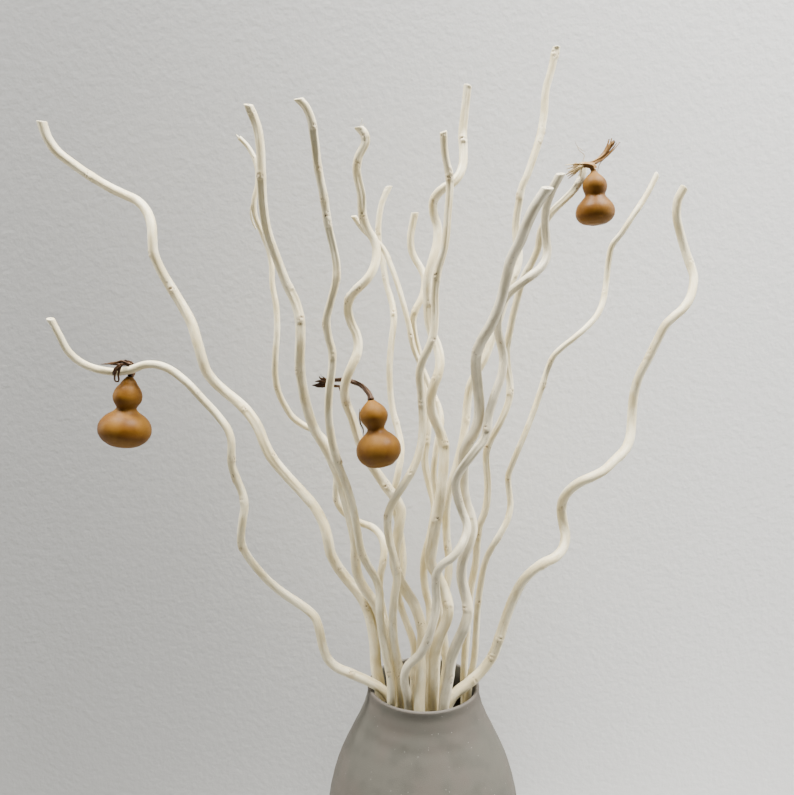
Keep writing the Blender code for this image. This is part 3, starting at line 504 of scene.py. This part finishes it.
make_strands("stem_left_forked_splinter", stem_lines["stem_left_forked"][48], [
    ([(1.4, -1, 15), (-1.2, -1.5, 9), (-3.0, -1.8, 2), (-2.8, -1.8, -5), (-0.8, -1.2, -12),
      (1.2, -0.5, -16)],
     (1.2, 1.7, 1.8, 1.8, 1.7, 1.2))],
             ivory, 51)
make_strands("stem_left_forked_tear", stem_lines["stem_left_forked"][0], [
    ([(2.2, 0, -3), (0.2, -0.6, -1.0), (-1.6, -1, 1.6), (-2.6, -1, 2.6)], (3.0, 2.2, 1.4, 0.4)),
    ([(2.6, 0, -3), (2.0, 0.4, -0.6), (1.4, 0.6, 1.4)], (2.6, 1.6, 0.4))],
             ivory, 52)
make_strands("stem_middle_gourd_fibres", stem_lines["stem_middle_gourd"][0], [
    ([(2.2, 0, 0.5), (2.0, 0, 3.0), (3.2, 0, 5.2), (2.6, 0, 7.2)], (0.5, 0.4, 0.4, 0.2)),
    ([(3.2, 0, 0.3), (4.6, 0, 2.4), (6.4, 0, 2.0)], (0.5, 0.4, 0.2))],
             ivory, 53)

# ---------------------------------------------------------------------------------------------
# Gourds, three small dried bottle gourds: thin hard ochre skin with a dull satin shine, each grown on its
# own ribbed stalk, brown or frayed and paler. Each hangs by its stalk, which is hooked over its stem.
skin_group, given, out = new_group("gourd_skin", [
    ("Ochre", COLOUR, (0.128, 0.053, 0.0055, 1)), ("Dark", COLOUR, (0.088, 0.032, 0.003, 1)),
    ("Light", COLOUR, (0.170, 0.078, 0.010, 1))],
    [("Color", COLOUR), ("Roughness", VALUE), ("Height", VALUE)])
place = add(skin_group, "ShaderNodeAttribute", attribute_name="grain").outputs["Vector"]
blotch = noise(skin_group, place, 0.55, 4.0, 0.5)
fine = noise(skin_group, place, 9.0, 4.0, 0.6)
colour = mix(skin_group, spread(skin_group, blotch, 0.38, 0.66), given["Ochre"], given["Light"])
colour = mix(skin_group, spread(skin_group, blotch, 0.48, 0.28, 0.0, 0.5), colour, given["Dark"])
colour = mix(skin_group, spread(skin_group, fine, 0.52, 0.74, 0.0, 0.25), colour, given["Dark"])
skin_group.links.new(colour, out["Color"])
skin_group.links.new(spread(skin_group, blotch, 0.3, 0.7, 0.42, 0.56), out["Roughness"])
relief = sums(skin_group, "ADD", sums(skin_group, "MULTIPLY", fine, 0.4), blotch)
skin_group.links.new(relief, out["Height"])

ochre = skin_material("gourd_skin", skin_group, 0.12, 0.35, 0.8 * MM)
stalk_brown = wood_material("gourd_stalk", 0.9, shine=0.14, Cream=(0.030, 0.014, 0.006, 1),
                            Pale=(0.070, 0.034, 0.014, 1), Groove=(0.010, 0.005, 0.003, 1),
                            Scar=(0.015, 0.008, 0.005, 1))
stalk_fray = wood_material("stalk_fray", 0.9, shine=0.1, Cream=(0.150, 0.072, 0.021, 1),
                           Pale=(0.33, 0.19, 0.070, 1), Groove=(0.06, 0.03, 0.012, 1),
                           Scar=(0.03, 0.015, 0.008, 1))
straw = wood_material("dry_fibre", 0.3, shine=0.15, Cream=(0.44, 0.31, 0.14, 1), Pale=(0.64, 0.50, 0.28, 1),
                      Groove=(0.26, 0.16, 0.06, 1))


def make_gourd(name, stem, hook, stalk, width, length, outline, tilt, seed, bark):
    """One gourd below its stalk, and the point of the stem that the stalk is hooked over.

    hook     (cm to the right of the vase's middle, cm above its mouth) where the eye sees the hook
    stalk    places of the stalk's line in mm from that point, the last one at the gourd's top
    width    of the gourd in mm; length is in mm too
    outline  (height, width) down the gourd as shares of its length and its width
    tilt     how far to the right and to the back it goes for each step down
    bark     the stalk's material
    """
    rng = np.random.default_rng(seed)
    drawn = np.array((hook[0] * CM, 0.0, MOUTH + hook[1] * CM))
    sight = (drawn - EYE) / np.linalg.norm(drawn - EYE)
    line = stem_lines[stem]
    from_eye = line - EYE
    beside = np.linalg.norm(from_eye - np.outer(from_eye @ sight, sight), axis=1)
    start = line[beside.argmin()]
    stalk_rings = 90
    route = start + np.array(stalk, dtype=float) * MM
    marks = along_of(route)
    route = curve_at(marks, route, np.linspace(0, marks[-1], stalk_rings))
    heights, widths = np.array(outline, dtype=float).T
    depth = 1 - heights
    down = np.array((*tilt, -1.0)) / np.linalg.norm((*tilt, -1.0))
    shell_rings = 72
    fine_depth = (1 - np.cos(np.linspace(0, math.pi, shell_rings))) / 2
    profile = curve_at(depth, widths[:, None], fine_depth)[:, 0] * width * MM / 2
    profile[-1] = 0.4 * MM
    sides = 56
    turn = np.arange(sides) * math.tau / sides
    across = np.cross(down, FRONT)
    across /= np.linalg.norm(across)
    ahead = np.cross(across, down)
    middles = route[-1] + np.outer(fine_depth * length * MM, down)
    bulge = 1 + 0.018 * np.cos(2 * turn + rng.uniform(0, 6)) + 0.012 * np.cos(3 * turn + rng.uniform(0, 6))
    lean = np.sin(fine_depth * math.pi)[:, None] * (across * rng.uniform(-1, 1) + ahead * 0.5) * 0.9 * MM
    verts = (middles + lean)[:, None, :] + profile[:, None, None] * bulge[None, :, None] * (
        np.cos(turn)[None, :, None] * across + np.sin(turn)[None, :, None] * ahead)
    points = verts.reshape(-1, 3)
    body = finish_mesh(name + "_shell", points, rod_faces(shell_rings, sides), ochre,
                       {"grain": (points - start) / CM + seed})
    share = along_of(route) / along_of(route)[-1]
    radius = np.interp(share, (0, 0.05, 0.75, 0.93, 1), (1.1, 1.6, 2.0, 2.2, 2.7)) * MM
    sides = 24
    turn = np.arange(sides) * math.tau / sides
    _, front, right = frames_of(route)
    twist = turn[None, :] + share[:, None] * 2.5
    swelling = 1 + 0.2 * np.cos(5 * twist) + 0.05 * rng.standard_normal((stalk_rings, 1))
    outward = front[:, None] * np.cos(turn)[:, None] + right[:, None] * np.sin(turn)[:, None]
    verts = route[:, None] + outward * (radius[:, None] * swelling)[..., None]
    grain = np.stack((np.cos(twist) * 0.3, np.sin(twist) * 0.3, share[:, None] * 5 + 0 * twist), axis=-1)
    stalk_piece = finish_mesh(name + "_stalk", verts.reshape(-1, 3), rod_faces(stalk_rings, sides), bark,
                              {"grain": grain.reshape(-1, 3)})
    for piece in (body, stalk_piece):
        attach(piece, "root")
    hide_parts(name)
    return start


start = make_gourd("gourd_left", "stem_left_gourd", (-27.6, 31.5),
                   [(-9, -8, -3), (-7, -8, 2), (-3, -6.5, 6), (0, 0, 7.5), (2.5, 5.5, 5.5), (3.5, 7.5, 1),
                    (3.0, 5, -4), (2.0, 2.0, -5.6)],
                   47, 66,
                   [(1.0, 0.11), (0.97, 0.18), (0.936, 0.26), (0.89, 0.335), (0.845, 0.43), (0.78, 0.52),
                    (0.718, 0.55), (0.645, 0.50), (0.60, 0.42), (0.564, 0.37), (0.52, 0.45),
                    (0.445, 0.74), (0.355, 0.94), (0.264, 1.0), (0.155, 0.92), (0.08, 0.73), (0.03, 0.47),
                    (0.0, 0.12)],
                   (-0.13, -0.03), 21, stalk_brown)
make_strands("gourd_left_tendril", start, [
    ([(-22, -3, 6.3), (-14, -4, 6.8), (-7, -5.5, 7.5), (-1.3, -6, 9.2), (2.5, -6.5, 8), (6.5, -6, 6.2)],
     (0.4, 1.6, 2.8, 3.0, 2.8, 2.2)),
    ([(-10, -5, 6.3), (-4, -6.5, 6.8), (1, -7, 6.6), (5, -6.5, 5.0)], (1.4, 2.2, 2.4, 1.4)),
    ([(-2, -6.5, 7.2), (-6, -7.5, 3), (-8.4, -7.6, -3), (-7.8, -7.6, -8.6), (-5.4, -7.8, -8.8),
      (-4.8, -7.8, -2), (-3, -7.5, 4), (-1, -6.5, 7)],
     (2.0, 2.0, 1.7, 1.5, 1.6, 1.9, 2.0)),
    ([(0, -6.5, 9), (2, -6.6, 10.4), (3.6, -6.5, 8.6)], (1.2, 1.0, 0.9))],
             stalk_brown, 41)

start = make_gourd("gourd_middle", "stem_middle_gourd", (-7.3, 30.3),
                   [(-19, 6.5, 3.4), (-9, 7.5, 3.6), (0, 8, 3.4), (4.6, 6.5, 2.6), (13.3, 0, 0.4),
                    (19.4, -8, -4.0), (22.6, -13, -7.8), (23.6, -15.8, -11)],
                   40, 60,
                   [(1.0, 0.14), (0.96, 0.28), (0.893, 0.49), (0.825, 0.60), (0.756, 0.63), (0.678, 0.55),
                    (0.62, 0.44), (0.571, 0.385), (0.522, 0.49), (0.464, 0.70), (0.366, 0.93),
                    (0.269, 1.0), (0.152, 0.92), (0.07, 0.71), (0.02, 0.44), (0.0, 0.14)],
                   (0.14, -0.08), 22, stalk_brown)
make_strands("gourd_middle_leaf", start, [
    ([(-16, 7, 1), (-20, 6.5, 0.4), (-25, 6, -0.6), (-30.2, 6, -1.2)], (3.0, 3.8, 3.0, 0.5)),
    ([(-16, 7, 1.4), (-20, 6, 2), (-24.5, 5.6, 2.6), (-27.4, 6, 2.4)], (2.6, 3.4, 2.4, 0.6)),
    ([(-16, 7, 1.8), (-20, 6.4, 3.6), (-22.6, 6, 5.4), (-23.6, 6, 7.2)], (2.4, 3.2, 2.2, 0.4)),
    ([(-16, 7, 2.4), (-18.6, 6, 4.4), (-20.4, 6, 7.0)], (2.4, 3.0, 0.5)),
    ([(-16, 7, 0), (-19, 6.6, -1.6), (-24, 6, -2.6), (-27.5, 6, -2.0)], (2.4, 2.6, 1.4, 0.4)),
    ([(-17, 7, 4.6), (-21.4, 6, 7.4), (-22.4, 6, 9.0)], (0.5, 0.3, 0.2)),
    ([(-17, 7, -1.6), (-10.5, 7.2, -1.9), (-4.6, 6.6, -2.0), (-0.5, 5.4, -2.6)], (2.0, 2.4, 2.4, 1.4)),
    ([(-8, 6.0, -2.0), (-5.4, 3, -2.2), (-4.9, -1.0, -2.6), (-4.6, -3.2, -5.0)], (1.2, 1.4, 1.2, 0.4))],
             stalk_brown, 42, 0.6)
make_strands("gourd_middle_thread", start, [
    ([(13.4, -8, -20), (12.9, -8.5, -26), (14.0, -9, -33), (16.4, -9.5, -39), (16.0, -10, -44)],
     (0.5, 1.0, 1.3, 1.2, 0.5))],
             stalk_brown, 43)

start = make_gourd("gourd_right", "stem_right_gourd", (13.9, 49.4),
                   [(24, -3, 24), (20, -2, 19), (13.5, 2, 10.5), (5, 6, 6.5), (-3, 5.5, 5.4), (-6, 0, 5),
                    (-3.5, -5.5, 4.6), (1.5, -7.5, 4.6), (5.4, -7.5, 3.6), (6.9, -7.5, 1.2)],
                   32, 45,
                   [(1.0, 0.13), (0.965, 0.15), (0.93, 0.22), (0.874, 0.40), (0.805, 0.55),
                    (0.713, 0.625), (0.62, 0.58), (0.54, 0.51), (0.46, 0.69), (0.368, 0.90), (0.253, 1.0),
                    (0.138, 0.93), (0.06, 0.72), (0.02, 0.46), (0.0, 0.14)],
                   (0.05, -0.02), 23, stalk_fray)
make_strands("gourd_right_frays", start, [
    ([(2, -7.5, 4.2), (8, -5, 7), (14.5, -4, 13), (18, -3.5, 20), (19.6, -3, 25.6)],
     (2.2, 2.6, 2.2, 1.8, 0.8)),
    ([(2, -7.5, 4.8), (9, -5.5, 8.5), (16, -4.5, 14), (20, -4, 21), (21.8, -3, 26.2)],
     (2.0, 2.2, 2.2, 1.8, 0.7)),
    ([(3, -7.8, 4.0), (10, -6, 7.5), (16.5, -4, 13), (21.5, -3.5, 20), (23.8, -3, 24.8)],
     (1.8, 2.0, 2.2, 1.8, 0.6)),
    ([(5, -7, 5.5), (12, -5, 9), (18.5, -3.5, 13.5), (23.5, -3, 19), (26.2, -3, 22.6)],
     (1.2, 1.6, 1.6, 1.2, 0.5)),
    ([(6, -7.5, 5.0), (15, -5.5, 9.5), (20, -5, 14), (25, -4.5, 19), (28.3, -4, 23)],
     (1.0, 1.4, 1.2, 0.9, 0.6)),
    ([(15.5, -4, 9.8), (12.6, -6, 6.5), (10.6, -7.5, 2.4), (10.0, -8, -1.5)], (0.7, 0.6, 0.5, 0.3))],
             stalk_fray, 44)
make_strands("gourd_right_straw", start, [
    ([(1, -7.5, 5.2), (-6, -7.5, 5.6), (-12, -6, 5.0), (-16.4, -5, 4.9)], (1.8, 1.3, 1.0, 0.4)),
    ([(1, -7.5, 4.8), (-5, -7.5, 4.0), (-10, -6.5, 3.2), (-15.0, -6, 1.6)], (1.6, 1.6, 1.2, 0.4)),
    ([(0, -7.5, 4.6), (-5, -7.8, 3.0), (-10, -6.5, 0.2), (-15.2, -5, -3.0)], (1.6, 1.8, 1.6, 0.6)),
    ([(0, -7.6, 4.4), (-4.5, -8, 2.4), (-9, -7, -0.8), (-14.0, -6, -4.3)], (1.6, 1.8, 1.6, 0.6)),
    ([(0, -7.7, 4.2), (-4, -8, 1.8), (-8, -7, -1.8), (-12.8, -5, -5.8)], (1.4, 1.6, 1.4, 0.5)),
    ([(0, -7.0, 4.6), (-5, -6.6, 3.4), (-9.5, -5.5, 1.6), (-13.4, -4.5, -0.6)], (1.4, 1.4, 1.2, 0.5)),
    ([(-1.0, -8, 5.0), (-3.2, -8.2, 0.2), (-3.6, -8, -6.5)], (0.8, 0.7, 0.4)),
    ([(-6.8, -5, 20.6), (-5.1, -5, 16.8), (-0.6, -5.5, 12.4), (-1.7, -6, 8), (-2.6, -6.5, 5)],
     (0.2, 0.45, 0.5, 0.5, 0.4)),
    ([(-8.4, -5, 23.5), (-7.0, -5, 20.4), (-3.8, -5, 17.6), (0.4, -5.5, 15.2)], (0.2, 0.35, 0.35, 0.2))],
             straw, 45)

# ---------------------------------------------------------------------------------------------
# Vase: one thrown stoneware shell with a matt warm-grey slip glaze that clouds and pinks a little, a thin
# rounded lip and a hollow painted dark as shade. It stands on its foot and is made in one piece.
OUTLINE = [(6.1, 0.0), (6.6, 0.35), (7.9, 2.4), (9.05, 5.6), (9.6, 9.4), (9.6, 12.6), (9.2, 15.7),
           (8.4, 18.6), (7.25, 21.2), (6.25, 23.3), (5.73, 24.7), (5.5, 25.7), (5.45, 26.6)]     # cm
RIM = 0.266                       # height of the lip's top
WALL = 3.6 * MM
outside = np.array(OUTLINE) * CM
marks = along_of(outside)
outside = curve_at(marks, outside, np.concatenate((np.linspace(0, 0.98, 120), (0.988, 0.994))) * marks[-1])
slopes = np.gradient(outside, axis=0)
slopes /= np.linalg.norm(slopes, axis=1)[:, None]
inside = outside + np.column_stack((-slopes[:, 1], slopes[:, 0])) * WALL
inside = inside[inside[:, 1] > 12 * MM]
half = WALL / 2
rim = [(outside[-1][0] - half + half * math.cos(t), RIM - half + half * math.sin(t))
       for t in np.linspace(0.25, math.pi - 0.25, 9)]
base = [(0.0, 2.5 * MM), (4.9 * CM, 2.5 * MM), (5.1 * CM, 0.3 * MM), (5.4 * CM, 0.0), (5.8 * CM, 0.0)]
floor_line = [(inside[0][0] - 5 * MM, 8 * MM), (inside[0][0] - 12 * MM, 6 * MM), (0.0, 6 * MM)]
profile = np.array([*base, *outside[2:], *rim, *inside[::-1][1:], *floor_line])
rings = len(profile)
sides = 128
turn = np.arange(sides) * math.tau / sides
height = profile[:, 1:]
wobble = 1 + 0.004 * np.cos(2 * turn + 0.6) * np.clip(height / 0.2, 0, 1)
wobble = wobble + 0.0015 * np.cos(5 * turn + 9 * height)
throwing = 0.12 * MM * np.sin(height / (2.3 * MM) + 0.8 * np.sin(turn)) * np.sin(height / 0.031)
radius = np.where(profile[:, :1] > 1 * CM, profile[:, :1] * wobble + throwing, profile[:, :1])
verts = np.stack((radius * np.cos(turn), radius * np.sin(turn), height + 0 * turn), axis=-1)
# painted shade: the shell from the top of its lip inwards, down the hollow and over its floor, is painted
# darker
hollow = np.where(np.arange(rings) < len(base) + len(outside) + 3, 0.0, 1.0)[:, None] + 0 * turn
lip = np.exp(-((height - RIM + 0.6 * MM) / (1.6 * MM)) ** 2) + 0 * turn

glaze, given, out = new_group("slip_glaze", [
    ("Grey", COLOUR, (0.096, 0.091, 0.075, 1)), ("Pink", COLOUR, (0.102, 0.090, 0.075, 1)),
    ("Dark", COLOUR, (0.058, 0.055, 0.045, 1)), ("Lip", COLOUR, (0.118, 0.100, 0.084, 1))],
    [("Color", COLOUR), ("Roughness", VALUE), ("Height", VALUE)])
where = add(glaze, "ShaderNodeAttribute", attribute_name="grain").outputs["Vector"]
lip_mask = add(glaze, "ShaderNodeAttribute", attribute_name="lip").outputs["Fac"]
inside_shade = add(glaze, "ShaderNodeAttribute", attribute_name="inside_shade").outputs["Fac"]
clouds = noise(glaze, where, 0.22, 3.0, 0.5)
mist = noise(glaze, where, 0.45, 4.0, 0.5)
grit = noise(glaze, where, 14.0, 3.0, 0.6)
colour = mix(glaze, spread(glaze, clouds, 0.42, 0.62), given["Grey"], given["Pink"])
colour = mix(glaze, spread(glaze, mist, 0.54, 0.30, 0.0, 0.4), colour, given["Dark"])
colour = mix(glaze, spread(glaze, grit, 0.58, 0.78, 0.0, 0.35), colour, given["Dark"])
cells = add(glaze, "ShaderNodeTexVoronoi", {"Vector": where, "Scale": 3.2, "Randomness": 1.0}, feature="F1")
chosen = add(glaze, "ShaderNodeSeparateColor", {0: cells.outputs["Color"]})
spot = spread(glaze, cells.outputs["Distance"], 0.05, 0.11, 1.0, 0.0)
white = sums(glaze, "MULTIPLY", spot, spread(glaze, chosen.outputs[0], 0.78, 0.82))
black = sums(glaze, "MULTIPLY", spot, spread(glaze, chosen.outputs[1], 0.90, 0.94))
colour = mix(glaze, sums(glaze, "MULTIPLY", white, 0.6), colour, (0.75, 0.72, 0.67, 1))
colour = mix(glaze, sums(glaze, "MULTIPLY", black, 0.7), colour, (0.06, 0.05, 0.045, 1))
colour = mix(glaze, sums(glaze, "MULTIPLY", lip_mask, 0.5), colour, given["Lip"])
# painted shade inside the hollow
colour = mix(glaze, sums(glaze, "MULTIPLY", inside_shade, 0.55), colour, given["Dark"])
glaze.links.new(colour, out["Color"])
glaze.links.new(spread(glaze, mist, 0.3, 0.7, 0.62, 0.82), out["Roughness"])
glaze.links.new(sums(glaze, "ADD", sums(glaze, "MULTIPLY", grit, 0.35), sums(glaze, "MULTIPLY", mist, 0.5)),
                out["Height"])
stoneware = skin_material("stoneware", glaze, 0.3, 0.4, 1.2 * MM)
points = verts.reshape(-1, 3)
vase = finish_mesh("vase_shell", points, tube_faces(rings, sides), stoneware,
                   {"grain": points / CM, "inside_shade": hollow.ravel(), "lip": lip.ravel()})
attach(vase, "root")
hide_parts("vase")

# ---------------------------------------------------------------------------------------------
# Room: a round grey room that's darker in front of the vase than behind it, a pale wall close behind
# the vase that's clear from its back and painted darker to its left as painted shade, soft lamps under
# the ceiling and at the sides, and the camera in front of the vase and well above its mouth, looking
# slightly down.
def paint(name, pale, deep, near, far, axis="Y"):
    """Matt paint that goes from deep to pale between two places on an axis, clouded a little."""
    made = bpy.data.materials.new(name)
    made.use_nodes = True
    tree = made.node_tree
    place = add(tree, "ShaderNodeTexCoord").outputs["Object"]
    depth = add(tree, "ShaderNodeSeparateXYZ", {0: place}).outputs[axis]
    cloud = noise(tree, place, 0.9, 2.0)
    share = sums(tree, "ADD", spread(tree, depth, near, far), spread(tree, cloud, 0.2, 0.8, -0.04, 0.04))
    skin = tree.nodes["Principled BSDF"]
    tree.links.new(mix(tree, share, deep, pale), skin.inputs["Base Color"])
    skin.inputs["Roughness"].default_value = 0.95
    skin.inputs["Specular IOR Level"].default_value = 0.2
    return made


FLOOR = -1 * MM                   # height of the floor, just clear of the vase's foot
room_profile = [(0.0, 0.0), (1.2, 0.0), (2.0, 0.0), (2.25, 0.03), (2.45, 0.14), (2.57, 0.32), (2.6, 0.6),
                (2.6, 3.2)]
room_sides = 96
room_turn = np.arange(room_sides) * math.tau / room_sides
room_verts = np.array([[(r * math.cos(t), r * math.sin(t), z + FLOOR) for t in room_turn]
                       for r, z in room_profile])
room_faces = [face[::-1] for face in tube_faces(len(room_profile), room_sides)]
room_paint = paint("room_paint", (0.40, 0.40, 0.39, 1), (0.07, 0.07, 0.068, 1), -0.9, 0.3)
room = finish_mesh("room", room_verts.reshape(-1, 3), room_faces, room_paint)

# painted shade on the wall's left and painted light on its right: its colour goes from grey to pale across
# it
wall_paint = paint("wall_paint", (0.95, 0.955, 0.95, 1), (0.42, 0.42, 0.415, 1), -0.48, 0.42, "X")
tree = wall_paint.node_tree
skin = tree.nodes["Principled BSDF"]
roller = noise(tree, add(tree, "ShaderNodeTexCoord").outputs["Object"], 160.0, 2.0)
plaster = add(tree, "ShaderNodeBump", {"Height": roller, "Strength": 0.35, "Distance": 1 * MM})
tree.links.new(plaster.outputs[0], skin.inputs["Normal"])
behind = add(tree, "ShaderNodeNewGeometry").outputs["Backfacing"]
clear = add(tree, "ShaderNodeBsdfTransparent").outputs[0]
one_sided = add(tree, "ShaderNodeMixShader", {0: behind, 1: skin.outputs[0], 2: clear})
tree.links.new(one_sided.outputs[0], tree.nodes["Material Output"].inputs["Surface"])
WALL_BACK = 0.14                  # how far behind the vase's middle the wall stands
WALL_HALF = 1.9                   # half of the wall's width
wall_rise = (FLOOR, 1.2, 2.4)
wall_verts = [(x, WALL_BACK, z) for z in wall_rise for x in (-WALL_HALF, WALL_HALF)]
wall_faces = [(2 * k, 2 * k + 1, 2 * k + 3, 2 * k + 2) for k in range(len(wall_rise) - 1)]
wall = finish_mesh("backdrop", wall_verts, wall_faces, wall_paint)


def soft_light(name, place, aim, size, power, colour):
    """A rectangular lamp aimed at a point."""
    lamp = bpy.data.lights.new(name, "AREA")
    lamp.shape = "RECTANGLE"
    lamp.size, lamp.size_y = size
    lamp.energy = power
    lamp.color = colour
    holder = bpy.data.objects.new(name, lamp)
    holder.location = place
    holder.rotation_euler = (Vector(aim) - Vector(place)).to_track_quat("-Z", "Y").to_euler()
    bpy.context.collection.objects.link(holder)


soft_light("ceiling_left", (-0.75, -0.14, 2.9), (0, 0.0, 0.5), (0.90, 0.90), 235, (1.0, 0.985, 0.95))
soft_light("ceiling_right", (1.25, -0.14, 2.9), (0.2, 0.0, 0.5), (1.00, 1.00), 335, (1.0, 0.985, 0.96))
soft_light("side_left", (-1.00, 0.06, 0.95), (0, -0.02, 0.65), (0.10, 1.0), 6, (1.0, 0.98, 0.94))
soft_light("side_right", (1.00, 0.06, 0.95), (0, -0.02, 0.65), (0.10, 1.0), 6, (1.0, 0.98, 0.94))
world = bpy.data.worlds.new("room_light")
world.use_nodes = True
glow = world.node_tree.nodes["Background"]
glow.inputs["Color"].default_value = (0.93, 0.95, 1.0, 1)
glow.inputs["Strength"].default_value = 0.10
bpy.context.scene.world = world

lens = bpy.data.cameras.new("camera")
lens.lens = 36.23
lens.sensor_width = 36.0
camera = bpy.data.objects.new("camera", lens)
camera.location = EYE
camera.rotation_euler = (math.radians(81.1), 0.0, 0.0)
bpy.context.collection.objects.link(camera)
bpy.context.scene.camera = camera
